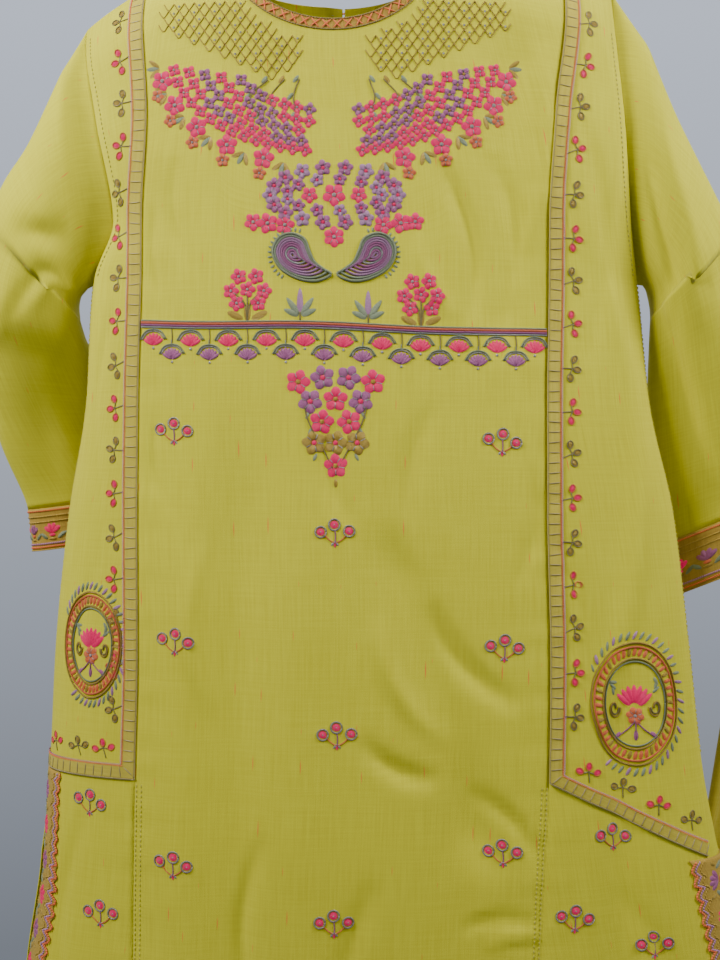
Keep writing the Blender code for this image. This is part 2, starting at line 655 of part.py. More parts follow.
def back_seat(x, drop):
    """A point outside the back panel, the direction down the cloth there and the one away from it."""
    step = 0.002
    seat = np.array(body_point("back", x, drop))
    down = unit(np.array(body_point("back", x, drop + step)) - np.array(body_point("back", x, drop - step)))
    away = np.cross((1.0, 0.0, 0.0), down)
    away *= math.copysign(1.0, away[1])
    return seat + away * (WALL / 2 + GAP), down, away


def make_neck_closure(cloth, thread):
    """A small covered button outside the back neck, and the loop around its neck."""
    seat, down, away = back_seat(NECK_CENTRE + BACK_SLIT_OFFSET - BUTTON_OFFSET, NECK_BACK_DROP + BUTTON_OFFSET)
    right = np.array((1.0, 0.0, 0.0))
    vertices = []
    for share, size in BUTTON_LEVELS:
        for i in range(BUTTON_SIDES):
            angle = 2 * math.pi * i / BUTTON_SIDES
            spoke = right * math.cos(angle) + down * math.sin(angle)
            vertices.append(tuple(seat + away * BUTTON_HEIGHT * share + spoke * BUTTON_RADIUS * size))
    faces = [tuple(reversed(range(BUTTON_SIDES))), tuple(range(len(vertices) - BUTTON_SIDES, len(vertices)))]
    for level in range(len(BUTTON_LEVELS) - 1):
        for i in range(BUTTON_SIDES):
            a, b = level * BUTTON_SIDES + i, level * BUTTON_SIDES + (i + 1) % BUTTON_SIDES
            faces.append((a, b, b + BUTTON_SIDES, a + BUTTON_SIDES))
    mesh = bpy.data.meshes.new("neck_button")
    mesh.from_pydata(vertices, [], faces)
    if np.dot(np.cross(right, down), away) < 0:
        mesh.flip_normals()
    place("neck_button", mesh, cloth)

    centre = seat + away * LOOP_WIRE
    reach = BUTTON_RADIUS * BUTTON_NECK + LOOP_WIRE + GAP
    path = [centre + right * LOOP_LENGTH + down * reach]
    for angle in np.linspace(*LOOP_TURN, LOOP_STEPS + 1):
        path.append(centre + right * reach * math.cos(angle) + down * reach * math.sin(angle))
    path.append(centre + right * LOOP_LENGTH - down * reach)
    tube("neck_loop", [tuple(point) for point in path], LOOP_WIRE, thread, sides=1)


def trouser_y(z):
    return float(smooth(TILT_COLUMNS, TILT_ROWS, "y", z))


def waist_point(angle, z):
    """A point of the waist ring: angle 0 is the left side, a right angle is the front."""
    ripple = WAIST_GATHER_DEPTH * math.cos(WAIST_GATHERS * angle)
    x = TROUSER_CENTRE - WAIST_HALF_WIDTH * math.cos(angle)
    flat = math.copysign(abs(math.sin(angle)) ** WAIST_FLATNESS, math.sin(angle))
    return (x, trouser_y(z) - (WAIST_HALF_DEPTH + ripple) * flat, z)


def make_waistband(finish):
    """The gathered elastic waistband, a closed band."""
    columns = WAIST_GATHER_COLUMNS * WAIST_GATHERS
    heights = [WAIST_Z - WAISTBAND_HEIGHT, WAIST_Z - WAISTBAND_HEIGHT / 2, WAIST_Z]
    grid = np.array([[waist_point(2 * math.pi * i / columns, z) for i in range(columns)] for z in heights])
    wall("waistband", grid, grid_normals(grid, tube_outward(grid), ring=True), WALL, finish, ring=True)


def leg_grid(side):
    """Rings of one leg from the hem to the loop of waist and crotch seam."""
    sign = -1 if side == "left" else 1
    half = LEG_COLUMNS // 2
    seam_x = TROUSER_CENTRE + sign * GAP / 2
    waist_z = WAIST_Z - WAISTBAND_HEIGHT - GAP
    loop, hem = [], []
    for i in range(LEG_COLUMNS):
        angle = 2 * math.pi * i / LEG_COLUMNS
        if i <= half // 2 or i >= LEG_COLUMNS - half // 2:
            point = waist_point(angle if i <= half // 2 else angle - 2 * math.pi, waist_z)
            x = TROUSER_CENTRE + sign * max(TROUSER_CENTRE - point[0], GAP / 2)
            loop.append((x, point[1], waist_z))
        else:
            share = (i - half / 2) / half
            fall = math.sin(math.pi * share) ** CROTCH_CURVE
            y = trouser_y(waist_z) * (1 - fall) + trouser_y(CROTCH_Z) * fall
            depth = WAIST_HALF_DEPTH * math.cos(math.pi * share) * CROTCH_DEPTH
            loop.append((seam_x, y - depth, waist_z + (CROTCH_Z - waist_z) * fall))
        reach = (TROUSER_HEM_OUTER - TROUSER_HEM_INNER) / 2
        across = (TROUSER_HEM_OUTER + TROUSER_HEM_INNER) / 2 + reach * math.cos(angle)
        drape = HEM_DRAPE * math.cos(HEM_WAVES * angle + HEM_TURNS[side])
        y = trouser_y(TROUSER_HEM_Z) - (TROUSER_HEM_HALF_DEPTH + drape) * math.sin(angle)
        hem.append((TROUSER_CENTRE + sign * across, y, TROUSER_HEM_Z))
    loop, hem = np.array(loop), np.array(hem)
    rows = []
    for row in range(LEG_ROWS + 1):
        share = row / LEG_ROWS
        line = hem * (1 - share) + loop * share
        straight = trouser_y(TROUSER_HEM_Z) * (1 - share)
        ends = np.array([trouser_y(point[2]) for point in loop]) * share + straight
        line[:, 1] += np.array([trouser_y(point[2]) for point in line]) - ends
        rows.append(line)
    return np.array(rows)


def make_trousers(finish):
    make_waistband(finish)
    for side in ("left", "right"):
        grid = leg_grid(side)
        normals = grid_normals(grid, tube_outward(grid), ring=True)
        half = LEG_COLUMNS // 2
        for i in range(half // 2, LEG_COLUMNS - half // 2 + 1):
            normals[-1, i, 0] = 0.0
        normals[-1] = unit(normals[-1])
        wall("trouser_" + side, drawn_in(grid, top=True), normals, WALL, finish, ring=True)


def make_clip_hanger(steel, plastic):
    """The bar above the waistband, its hook and the two clips on the front of the band."""
    reach = CLIP_OFFSET + CLIP_BAR_PAST
    ends = [(TROUSER_CENTRE + side * reach, 0.0, CLIP_BAR_Z) for side in (-1, 1)]
    tube("clip_bar", ends, CLIP_BAR_RADIUS, steel)
    make_hook("clip_hook", TROUSER_CENTRE, CLIP_BAR_Z + CLIP_BAR_RADIUS + GAP, steel)
    make_clip("clip_left", TROUSER_CENTRE - CLIP_OFFSET, plastic)
    make_clip("clip_right", TROUSER_CENTRE + CLIP_OFFSET, plastic)


def make_clip(name, x, finish):
    """A folded clip: a saddle under the bar and a jaw down each face of the waistband."""
    face_y = WAIST_HALF_DEPTH + WAIST_GATHER_DEPTH + WALL / 2 + GAP
    half, low = CLIP_WIDTH / 2, WAIST_Z - CLIP_JAW_REACH
    shelf_top, shelf_low = CLIP_BAR_Z - CLIP_BAR_RADIUS - GAP, WAIST_Z + GAP * 2
    outer_y = face_y + CLIP_JAW
    profile = [(-outer_y, low), (-face_y, low), (-face_y, shelf_low), (face_y, shelf_low), (face_y, low),
               (outer_y, low), (outer_y, shelf_top), (-outer_y, shelf_top)]
    count = len(profile)
    vertices = [(x + side * half, y, z) for side in (-1, 1) for y, z in profile]
    faces = [tuple(reversed(range(count))), tuple(range(count, 2 * count))]
    faces += [((i + 1) % count, (i + 1) % count + count, i + count, i) for i in range(count)]
    mesh = bpy.data.meshes.new(name)
    mesh.from_pydata(vertices, [], faces)
    mesh.update()
    place(name, mesh, finish)


def build():
    clear_scene()
    cloth = material("kurta_cloth", (0.60, 0.56, 0.08), 0.85)
    ladder = material("ladder_tape", (0.50, 0.36, 0.06), 0.80)
    border = material("stitched_border", (0.58, 0.40, 0.07), 0.75)
    wood = material("hanger_wood", (0.45, 0.28, 0.14), 0.50)
    steel = material("hook_steel", (0.60, 0.60, 0.62), 0.25, 1.0)
    plastic = material("clip_plastic", (0.75, 0.75, 0.73), 0.40)
    thread = material("loop_thread", (0.85, 0.30, 0.15), 0.70)
    trouser_cloth = material("trouser_cloth", (0.55, 0.42, 0.05), 0.85)
    make_kurta(cloth, ladder, border)
    make_neck_closure(cloth, thread)
    make_kurta_hanger(wood, steel)
    tube("rod", [(x, 0.0, 0.0) for x in ROD_ENDS], ROD_RADIUS, steel, sides=4)
    make_trousers(trouser_cloth)
    make_clip_hanger(steel, plastic)


build()
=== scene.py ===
import math

import bmesh
import bpy
import numpy as np
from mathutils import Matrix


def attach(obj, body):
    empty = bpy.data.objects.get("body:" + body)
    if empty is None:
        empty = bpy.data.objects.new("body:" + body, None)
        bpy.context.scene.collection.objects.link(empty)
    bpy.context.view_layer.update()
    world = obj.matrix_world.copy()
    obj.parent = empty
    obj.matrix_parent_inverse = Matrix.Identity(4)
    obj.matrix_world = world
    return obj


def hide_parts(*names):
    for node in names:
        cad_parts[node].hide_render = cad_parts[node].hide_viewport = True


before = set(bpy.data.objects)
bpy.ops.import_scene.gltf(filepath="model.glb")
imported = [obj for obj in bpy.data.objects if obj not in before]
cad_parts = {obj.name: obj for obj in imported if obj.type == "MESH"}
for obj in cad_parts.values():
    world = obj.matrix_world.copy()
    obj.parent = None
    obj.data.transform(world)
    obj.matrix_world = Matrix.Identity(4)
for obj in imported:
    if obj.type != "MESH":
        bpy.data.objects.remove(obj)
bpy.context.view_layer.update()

# The stand: a pale painted floor well below the hung set, a surround that is paler above, and five area
# lamps: a key, a fill, one for each sleeve and one behind. The camera looks level along +Y from 0.8 m in
# front of the kurta, as the photograph does.
FRONT_PLANE_Y = -0.045
CAMERA_DISTANCE = 0.80
CAMERA_X = 0.0104
CAMERA_Z = -0.4507
METRES_PER_PHOTO_PIXEL = 0.00069
VIEW_HEIGHT = 960 * METRES_PER_PHOTO_PIXEL
FLOOR_Z = -2.30
FLOOR_HALF = 3.1
# Seen behind the set the surround is the wall, with painted light and shade: paler at the top, darker towards
# the bottom. As light on the set it is brighter from above.
WALL_HIGH = (0.62, 0.68, 0.80)
WALL_LOW_SHADE = (0.19, 0.21, 0.245)
WALL_SLOPE = 0.36
WALL_LIGHT_SHARE = 0.38


def plain_material(name, colour, roughness, metallic=0.0):
    finish = bpy.data.materials.new(name)
    finish.use_nodes = True
    shader = finish.node_tree.nodes["Principled BSDF"]
    shader.inputs["Base Color"].default_value = (*colour, 1.0)
    shader.inputs["Roughness"].default_value = roughness
    shader.inputs["Metallic"].default_value = metallic
    return finish


def mesh_piece(name, points, faces, finish, smooth=True):
    """A mesh object with its place in its mesh."""
    mesh = bpy.data.meshes.new(name)
    mesh.from_pydata([tuple(point) for point in points], [], faces)
    mesh.update()
    if smooth:
        mesh.shade_smooth()
    mesh.materials.append(finish)
    piece = bpy.data.objects.new(name, mesh)
    bpy.context.scene.collection.objects.link(piece)
    return piece


floor_corners = [(x * FLOOR_HALF, y * FLOOR_HALF, FLOOR_Z) for x, y in ((-1, -1), (1, -1), (1, 1), (-1, 1))]
floor_paint = plain_material("floor_paint", (0.66, 0.68, 0.71), 0.8)
floor = mesh_piece("floor", floor_corners, [(0, 1, 2, 3)], floor_paint)


def add_node(tree, kind, inputs=(), **settings):
    node = tree.nodes.new(kind)
    for key, value in settings.items():
        setattr(node, key, value)
    for socket, value in dict(inputs).items():
        if isinstance(value, bpy.types.NodeSocket):
            tree.links.new(value, node.inputs[socket])
        else:
            node.inputs[socket].default_value = value
    return node


def mix_colour(tree, factor, first, second):
    return add_node(tree, "ShaderNodeMix", {0: factor, 6: first, 7: second}, data_type="RGBA").outputs[2]


# The surround's light on the cloth is dimmer than the look of the wall behind, whose painted shade darkens it
# towards the bottom
world = bpy.data.worlds.new("surround")
bpy.context.scene.world = world
world.use_nodes = True
surround = world.node_tree
looking = surround.nodes.new("ShaderNodeTexCoord")
height = add_node(surround, "ShaderNodeSeparateXYZ", {0: looking.outputs["Generated"]})
shade = add_node(surround, "ShaderNodeMapRange",
                 {"Value": height.outputs[2], "From Min": -WALL_SLOPE, "From Max": WALL_SLOPE})
seen = surround.nodes.new("ShaderNodeLightPath")
strength = add_node(surround, "ShaderNodeMapRange",
                    {"Value": seen.outputs["Is Camera Ray"], "To Min": WALL_LIGHT_SHARE})
background = surround.nodes["Background"]
surround.links.new(mix_colour(surround, shade.outputs[0], (*WALL_LOW_SHADE, 1.0), (*WALL_HIGH, 1.0)),
                   background.inputs["Color"])
surround.links.new(strength.outputs[0], background.inputs["Strength"])

# Each lamp: its name, place, the point it aims at, its width and its power
LAMPS = (
    ("key_lamp", (-0.80, -0.66, 0.44), (-0.06, 0.0, -0.30), 0.42, 18.0),
    ("fill_lamp", (0.98, -0.42, 0.30), (0.27, 0.0, -0.28), 0.36, 9.0),
    ("left_sleeve_lamp", (-0.72, -0.34, 0.22), (-0.27, 0.0, -0.24), 0.25, 2.6),
    ("right_sleeve_lamp", (0.74, -0.30, 0.10), (0.29, 0.0, -0.28), 0.25, 2.8),
    ("back_lamp", (0.4, 1.9, 0.6), (0.2, 0.0, -0.5), 1.6, 16.0),
)
for name, place, aim, width, power in LAMPS:
    lamp = bpy.data.lights.new(name, "AREA")
    lamp.size = width
    lamp.energy = power
    holder = bpy.data.objects.new(name, lamp)
    holder.location = place
    direction = np.array(aim) - np.array(place)
    tilt = math.atan2(math.hypot(direction[0], direction[1]), -direction[2])
    holder.rotation_euler = (tilt, 0.0, math.atan2(direction[1], direction[0]) - math.pi / 2)
    bpy.context.scene.collection.objects.link(holder)

camera_data = bpy.data.cameras.new("camera")
camera_data.sensor_fit = "VERTICAL"
camera_data.sensor_height = 24.0
camera_data.lens = camera_data.sensor_height * CAMERA_DISTANCE / VIEW_HEIGHT
camera_data.clip_start = 0.01
camera = bpy.data.objects.new("camera", camera_data)
camera.location = (CAMERA_X, FRONT_PLANE_Y - CAMERA_DISTANCE, CAMERA_Z)
camera.rotation_euler = (math.pi / 2, 0.0, 0.0)
bpy.context.scene.collection.objects.link(camera)
bpy.context.scene.camera = camera

# The kurta's cloth: slub cotton woven in lemon yellow, with thick and thin yarns and short coral slubs.
# The body is a centre front between princess seams, two side fronts and a back, sewn at the sides and
# shoulders and open in slits below the hip. It hangs creased from its hanger.
CLOTH_THICKNESS = 0.0008
NECK_POINT_Z = -0.075
HEM_DROP = 0.98
UNDERARM_DROP = 0.233
LADDER_CORNER_DROP = 0.576
LADDER_RUN_FALL = 0.058
TAPE_WIDTH = 0.010
SLIT_BORDER_WIDTH = 0.040
SLIT_SPREAD = 0.010
SLIT_BACK_PEEP = 0.007
NECK_CENTRE = -0.008
NECK_HALF_WIDTH = 0.069
NECK_FRONT_DROP = 0.057
NECK_BACK_DROP = 0.020
NECK_BAND_WIDTH = 0.0082
SHOULDER_ROUND = 0.050
ARMHOLE_BOW = 0.020
SECTION_FLATNESS = 0.70
BACK_SLIT_LENGTH = 0.11
BACK_SLIT_X = NECK_CENTRE + 0.006
BACK_SLIT_HALF_GAP = 0.0008
PROBE_STEP = 0.0006

# Each shoulder seam: X and drop at the neck, X and drop at the sleeve, and how its slope steepens
LEFT_SHOULDER = (-0.085, 0.003, -0.188, 0.0485, 1.7)
RIGHT_SHOULDER = (0.069, -0.003, 0.192, 0.020, 1.5)

BODY_COLUMNS = ("drop", "left", "left_seam", "right_seam", "right", "left_y", "right_y", "front_y", "back_y")
BODY_ROWS = (
    (-0.01, -0.188, -0.140, 0.155, 0.192, 0.000, 0.000, -0.042, 0.036),
    (0.05, -0.188, -0.1415, 0.154, 0.193, 0.000, 0.000, -0.045, 0.038),
    (0.12, -0.177, -0.138, 0.146, 0.198, 0.000, 0.000, -0.045, 0.040),
    (0.19, -0.1655, -0.142, 0.142, 0.204, 0.000, 0.000, -0.045, 0.040),
    (0.233, -0.182, -0.1425, 0.142, 0.2105, 0.000, 0.000, -0.045, 0.040),
    (0.32, -0.189, -0.145, 0.1406, 0.2195, 0.008, 0.000, -0.045, 0.040),
    (0.40, -0.204, -0.1457, 0.1406, 0.2375, 0.020, 0.002, -0.045, 0.042),
    (0.50, -0.216, -0.1452, 0.1425, 0.2495, 0.030, 0.003, -0.046, 0.046),
    (0.58, -0.2205, -0.147, 0.1415, 0.2585, 0.034, 0.004, -0.047, 0.048),
    (0.66, -0.2245, -0.1478, 0.137, 0.274, 0.034, 0.005, -0.048, 0.048),
    (0.74, -0.236, -0.148, 0.134, 0.291, 0.034, 0.006, -0.048, 0.046),
    (0.98, -0.255, -0.150, 0.130, 0.312, 0.032, 0.006, -0.049, 0.044),
)

# Large folds run down the cloth; creases are short and lie at any slant. Depths point into the cloth.
# Each fold: X at its top and foot, drop at its top and foot, its width and depth
FOLDS = {
    "front": (
        (-0.076, -0.082, 0.30, 1.10, 0.020, 0.0060),
        (-0.115, -0.122, 0.34, 1.10, 0.016, -0.0035),
        (-0.035, -0.034, 0.34, 1.10, 0.022, -0.0030),
        (0.118, 0.112, 0.05, 0.30, 0.018, 0.0050),
        (0.030, 0.100, 0.40, 0.66, 0.017, 0.0045),
        (0.070, 0.125, 0.55, 1.10, 0.022, 0.0045),
        (0.190, 0.196, 0.26, 1.10, 0.013, 0.0065),
    ),
    "back": (
        (-0.090, -0.110, 0.20, 1.10, 0.024, 0.0060),
        (0.020, 0.030, 0.30, 1.10, 0.026, -0.0050),
        (0.110, 0.140, 0.16, 1.10, 0.022, 0.0060),
    ),
}
CREASE_EMPHASIS = 2.2
PUCKER_DEPTH = 0.00028
UNDER_TRIM_DROP = 0.298
TRIM_HALF_WIDTH = 0.139
# Each crease: X and drop of one end, X and drop of the other, its width and depth
CREASES = {
    "front": (
        (0.062, 0.150, 0.088, 0.268, 0.0055, 0.0024),
        (0.050, 0.205, 0.078, 0.266, 0.0045, -0.0013),
        (0.100, 0.150, 0.120, 0.240, 0.0060, 0.0015),
        (0.128, 0.060, 0.120, 0.230, 0.0050, -0.0014),
        (-0.040, 0.075, -0.052, 0.150, 0.0060, 0.0008),
        (-0.118, 0.150, -0.105, 0.230, 0.0045, 0.0011),
        (-0.130, 0.175, -0.122, 0.262, 0.0030, 0.0010),
        (0.010, 0.555, 0.066, 0.585, 0.0060, 0.0019),
        (0.058, 0.460, 0.122, 0.535, 0.0070, 0.0021),
        (0.020, 0.470, 0.070, 0.560, 0.0060, -0.0014),
        (0.085, 0.590, 0.134, 0.640, 0.0050, 0.0015),
        (0.078, 0.688, 0.134, 0.682, 0.0032, 0.0013),
        (0.095, 0.699, 0.138, 0.693, 0.0026, -0.0010),
        (-0.010, 0.330, 0.004, 0.410, 0.0070, 0.0012),
        (0.060, 0.320, 0.052, 0.430, 0.0080, 0.0013),
        (-0.100, 0.420, -0.094, 0.540, 0.0060, -0.0012),
        (-0.056, 0.620, -0.060, 0.760, 0.0060, 0.0016),
        (-0.132, 0.330, -0.120, 0.400, 0.0040, 0.0010),
        (0.128, 0.360, 0.120, 0.450, 0.0045, 0.0012),
        (0.020, 0.650, 0.010, 0.800, 0.0080, 0.0016),
        (0.168, 0.180, 0.176, 0.560, 0.0085, -0.0030),
        (0.214, 0.330, 0.226, 0.560, 0.0060, 0.0020),
        (0.150, 0.420, 0.164, 0.560, 0.0045, 0.0014),
        (0.160, 0.110, 0.168, 0.300, 0.0060, 0.0018),
        (0.180, 0.060, 0.176, 0.200, 0.0050, -0.0012),
        (-0.158, 0.240, -0.164, 0.420, 0.0040, 0.0012),
        (-0.176, 0.430, -0.182, 0.560, 0.0040, 0.0012),
        (-0.180, 0.600, -0.190, 0.800, 0.0060, 0.0020),
        (0.190, 0.660, 0.230, 0.760, 0.0060, 0.0016),
        (-0.060, 0.800, 0.000, 0.900, 0.0090, 0.0018),
    ),
    "back": (
        (-0.060, 0.060, -0.090, 0.200, 0.0070, 0.0020),
        (0.060, 0.070, 0.100, 0.220, 0.0070, 0.0022),
        (-0.120, 0.240, -0.060, 0.330, 0.0070, 0.0020),
        (0.150, 0.300, 0.110, 0.430, 0.0080, 0.0020),
        (-0.020, 0.420, -0.070, 0.560, 0.0080, 0.0020),
        (0.060, 0.500, 0.020, 0.640, 0.0070, -0.0018),
        (-0.150, 0.560, -0.120, 0.720, 0.0080, 0.0022),
        (0.130, 0.640, 0.180, 0.800, 0.0090, 0.0022),
        (0.000, 0.180, 0.030, 0.300, 0.0060, 0.0014),
        (-0.030, 0.700, 0.010, 0.880, 0.0100, 0.0022),
    ),
}


def curve_value(columns, rows, name, at):
    """A named column at any key, on a curve that never overshoots its rows."""
    at = np.asarray(at, float)
    keys = np.array([row[0] for row in rows])
    values = np.array([row[columns.index(name)] for row in rows])
    steps = np.diff(values) / np.diff(keys)
    before, after = steps[:-1], steps[1:]
    total = before + after
    inner = np.where(before * after > 0, 2 * before * after / np.where(total == 0, 1, total), 0)
    slopes = np.concatenate([steps[:1], inner, steps[-1:]])
    cell = np.clip(np.searchsorted(keys, at) - 1, 0, len(keys) - 2)
    height = keys[cell + 1] - keys[cell]
    t = np.clip((at - keys[cell]) / height, 0, 1)
    start = (1 + 2 * t) * (1 - t) ** 2 * values[cell] + t * (1 - t) ** 2 * height * slopes[cell]
    end = t * t * (3 - 2 * t) * values[cell + 1] + t * t * (t - 1) * height * slopes[cell + 1]
    return start + end


def body_value(name, drop):
    return curve_value(BODY_COLUMNS, BODY_ROWS, name, drop)


def unit(vectors):
    return vectors / np.maximum(np.linalg.norm(vectors, axis=-1, keepdims=True), 1e-12)


def shoulder_drop(x):
    x = np.asarray(x, float)
    sides = []
    for neck_x, neck_drop, end_x, end_drop, power in (LEFT_SHOULDER, RIGHT_SHOULDER):
        along = np.maximum((x - neck_x) / (end_x - neck_x), 0.0)
        sides.append(neck_drop + (end_drop - neck_drop) * along ** power)
    return np.where(x < NECK_CENTRE, sides[0], sides[1])


def neckline_drop(x, half_width, depth):
    across = np.minimum(np.abs(x - NECK_CENTRE) / half_width, 1.0)
    start = shoulder_drop(x)
    return start + (depth - start) * np.sqrt(1 - across ** 2)


def run_drop(x):
    """Drop of the ladder tape's lower run, which falls away to the right."""
    seam = float(body_value("right_seam", LADDER_CORNER_DROP))
    edge = float(body_value("right", LADDER_CORNER_DROP))
    return LADDER_CORNER_DROP + LADDER_RUN_FALL * np.clip((x - seam) / (edge - seam), 0.0, 1.0)


def cloth_relief(face, x, drop):
    """Depth of the large folds and of the creases at places on the cloth."""
    total = np.zeros(np.broadcast(x, drop).shape)
    for top_x, low_x, top_drop, low_drop, width, depth in FOLDS[face]:
        along = (drop - top_drop) / (low_drop - top_drop)
        fade = np.clip(6 * along, 0, 1)
        if low_drop < HEM_DROP:
            fade = fade * np.clip(6 * (1 - along), 0, 1)
        fade = fade * fade * (3 - 2 * fade)
        total += depth * fade * np.exp(-((x - top_x - (low_x - top_x) * along) / width) ** 2)
    for x_1, drop_1, x_2, drop_2, width, depth in CREASES[face]:
        run = np.array([x_2 - x_1, drop_2 - drop_1])
        length = np.linalg.norm(run)
        run = run / length
        along = ((x - x_1) * run[0] + (drop - drop_1) * run[1]) / length
        bend = 0.10 * length * np.sin(math.pi * np.clip(along, 0, 1)) * (1 if x_1 > 0.06 else -1)
        aside = (x - x_1) * run[1] - (drop - drop_1) * run[0] - bend
        taper = np.clip(1 - (2 * along - 1) ** 2, 0, 1)
        total += CREASE_EMPHASIS * depth * taper * np.exp(-(aside / width) ** 2)
    return total + seam_puckers(x, drop) if face == "front" else total


def ripple(at, length, phase=0.0):
    return np.sin(2 * math.pi * at / length + phase)


def seam_puckers(x, drop):
    """Shallow pulls of the cloth beside the princess seams and under the bust trim."""
    total = np.zeros(np.broadcast(x, drop).shape)
    for side, turn in (("left", 0.0), ("right", 1.9)):
        apart = x - body_value(side + "_seam", drop)
        wave = ripple(drop, 0.031, 2.2 * np.sin(23 * drop + turn)) + 0.6 * ripple(drop, 0.017, turn)
        total += PUCKER_DEPTH * wave * np.exp(-(apart / 0.019) ** 2) * np.minimum(1, np.abs(apart) / 0.003)
    below = drop - UNDER_TRIM_DROP
    wave = ripple(x, 0.027, 1.7 * np.sin(31 * x)) + 0.5 * ripple(x, 0.0155, 0.8)
    inside = np.clip((TRIM_HALF_WIDTH - np.abs(x)) / 0.02, 0, 1)
    fade = np.exp(-(np.maximum(below, 0) / 0.026) ** 2) * (below > -0.012)
    return total + 1.2 * PUCKER_DEPTH * wave * inside * fade


def body_surface(face, x, drop, lift=0.0):
    """Points of the front or back cloth, moved out by a lift."""
    x, drop = np.broadcast_arrays(np.asarray(x, float), np.asarray(drop, float))
    sign = -1 if face == "front" else 1
    if np.any(lift):
        across = body_surface(face, x + PROBE_STEP, drop) - body_surface(face, x - PROBE_STEP, drop)
        along = body_surface(face, x, drop + PROBE_STEP) - body_surface(face, x, drop - PROBE_STEP)
        normal = unit(np.cross(along, across) * sign)
        normal *= np.sign(normal[..., 1:2] * sign + 1e-9)
        return body_surface(face, x, drop) + normal * np.broadcast_to(lift, x.shape)[..., None]
    below = np.clip((drop - run_drop(x)) / (HEM_DROP - LADDER_CORNER_DROP), 0.0, 1.0)
    left = x < 0
    reach = np.where(left, -body_value("left", drop), body_value("right", drop))
    if face == "back":
        reach = reach + SLIT_BACK_PEEP * np.minimum(1.0, 5 * below)
    end_drop = np.where(left, LEFT_SHOULDER[3], RIGHT_SHOULDER[3])
    armhole = np.sin(math.pi * np.clip((drop - end_drop) / (UNDERARM_DROP - end_drop), 0.0, 1.0))
    edge_y = np.where(left, body_value("left_y", drop), body_value("right_y", drop))
    edge_y = edge_y + sign * (ARMHOLE_BOW * armhole + SLIT_SPREAD * below)
    bulge = np.sqrt(np.maximum(1 - (x / reach) ** 2, 0.0)) ** SECTION_FLATNESS
    y = edge_y + (body_value(face + "_y", drop) - edge_y) * bulge - sign * cloth_relief(face, x, drop) * bulge
    from_top = np.clip((drop - shoulder_drop(x)) / SHOULDER_ROUND, 0.0, 1.0)
    y = y * np.sqrt(1 - (1 - from_top) ** 2)
    return np.stack([x, y, NECK_POINT_Z - drop], axis=-1)


# Distance along the front cloth from its middle, by drop and place, so that pieces keep their real width
ARC_DROPS = np.linspace(-0.003, HEM_DROP, 110)
ARC_ANGLES = np.linspace(-math.pi / 2, math.pi / 2, 241)
arc_reach = [sign * body_value(side, ARC_DROPS)[:, None] for side, sign in (("left", -1), ("right", 1))]
arc_x = np.where(ARC_ANGLES < 0, arc_reach[0], arc_reach[1]) * np.sin(ARC_ANGLES)
arc_points = body_surface("front", arc_x, ARC_DROPS[:, None] + 0 * arc_x)
arc_length = np.cumsum(np.linalg.norm(np.diff(arc_points, axis=1), axis=2), axis=1)
arc_length = np.concatenate([np.zeros((len(ARC_DROPS), 1)), arc_length], axis=1)
arc_length -= arc_length[:, len(ARC_ANGLES) // 2][:, None]


def between_levels(read, drop):
    """Read a table at the two levels around each drop and mix them."""
    place = np.clip((drop - ARC_DROPS[0]) / (ARC_DROPS[1] - ARC_DROPS[0]), 0, len(ARC_DROPS) - 1.001)
    low = place.astype(int)
    return read(low) * (1 - (place - low)) + read(low + 1) * (place - low)


def along_cloth(x, drop):
    """Distance along the front cloth of a place given by X."""
    x, drop = (np.atleast_1d(v).astype(float) for v in np.broadcast_arrays(x, drop))
    flat_x, flat_drop = x.ravel(), drop.ravel()

    def read(rows):
        return np.array([np.interp(v, arc_x[row], arc_length[row]) for v, row in zip(flat_x, rows)])
    return between_levels(read, flat_drop).reshape(x.shape)


def across_x(distance, drop):
    """X of a place given by its distance along the front cloth."""
    distance, drop = (np.atleast_1d(v).astype(float) for v in np.broadcast_arrays(distance, drop))
    flat, flat_drop = distance.ravel(), drop.ravel()

    def read(rows):
        return np.array([np.interp(v, arc_length[row], arc_x[row]) for v, row in zip(flat, rows)])
    return between_levels(read, flat_drop).reshape(distance.shape)


def edge_along(side, drop):
    """Distance along the front cloth from its middle to a hair inside its side edge."""
    return np.abs(along_cloth(body_value(side, drop) * 0.9999, drop))


def hand_in(piece, node=None):
    """The piece rides on the set's one body and may stand for a node of the part, which it hides."""
    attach(piece, "root")
    if node:
        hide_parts(node)


def sheet_piece(name, points, finish, thickness, ring=False, turned=False):
    """A thin cloth on a grid of points, with UVs in metres along and across, given its thickness."""
    rows, columns = points.shape[:2]
    across = columns if ring else columns - 1
    faces, uvs = [], []
    row_steps = np.linalg.norm(np.diff(points, axis=0), axis=2).mean(axis=1)
    v = np.concatenate([[0], np.cumsum(row_steps)])
    closed = np.concatenate([points, points[:, :1]], axis=1) if ring else points
    widths = np.linalg.norm(np.diff(closed, axis=1), axis=2)
    u = np.concatenate([np.zeros((rows, 1)), np.cumsum(widths, axis=1)], axis=1)
    u = u - u[:, u.shape[1] // 2][:, None]
    for row in range(rows - 1):
        for column in range(across):
            corners = [(row, column), (row, column + 1), (row + 1, column + 1), (row + 1, column)]
            faces.append([r * columns + c % columns for r, c in corners])
            uvs += [(v[r], u[r, c]) if turned else (u[r, c], v[r]) for r, c in corners]
    piece = mesh_piece(name, points.reshape(-1, 3), faces, finish)
    layer = piece.data.uv_layers.new(name="cloth")
    layer.data.foreach_set("uv", np.array(uvs).ravel())
    wall = piece.modifiers.new("wall", "SOLIDIFY")
    wall.thickness = thickness
    wall.offset = 0.0
    return piece


def row_faces_out(points, outward):
    """Flip the columns if the grid's faces would point inwards."""
    a, b, c = points[5, 5], points[5, 6], points[6, 5]
    return points if np.dot(np.cross(b - a, c - a), outward) > 0 else points[:, ::-1]


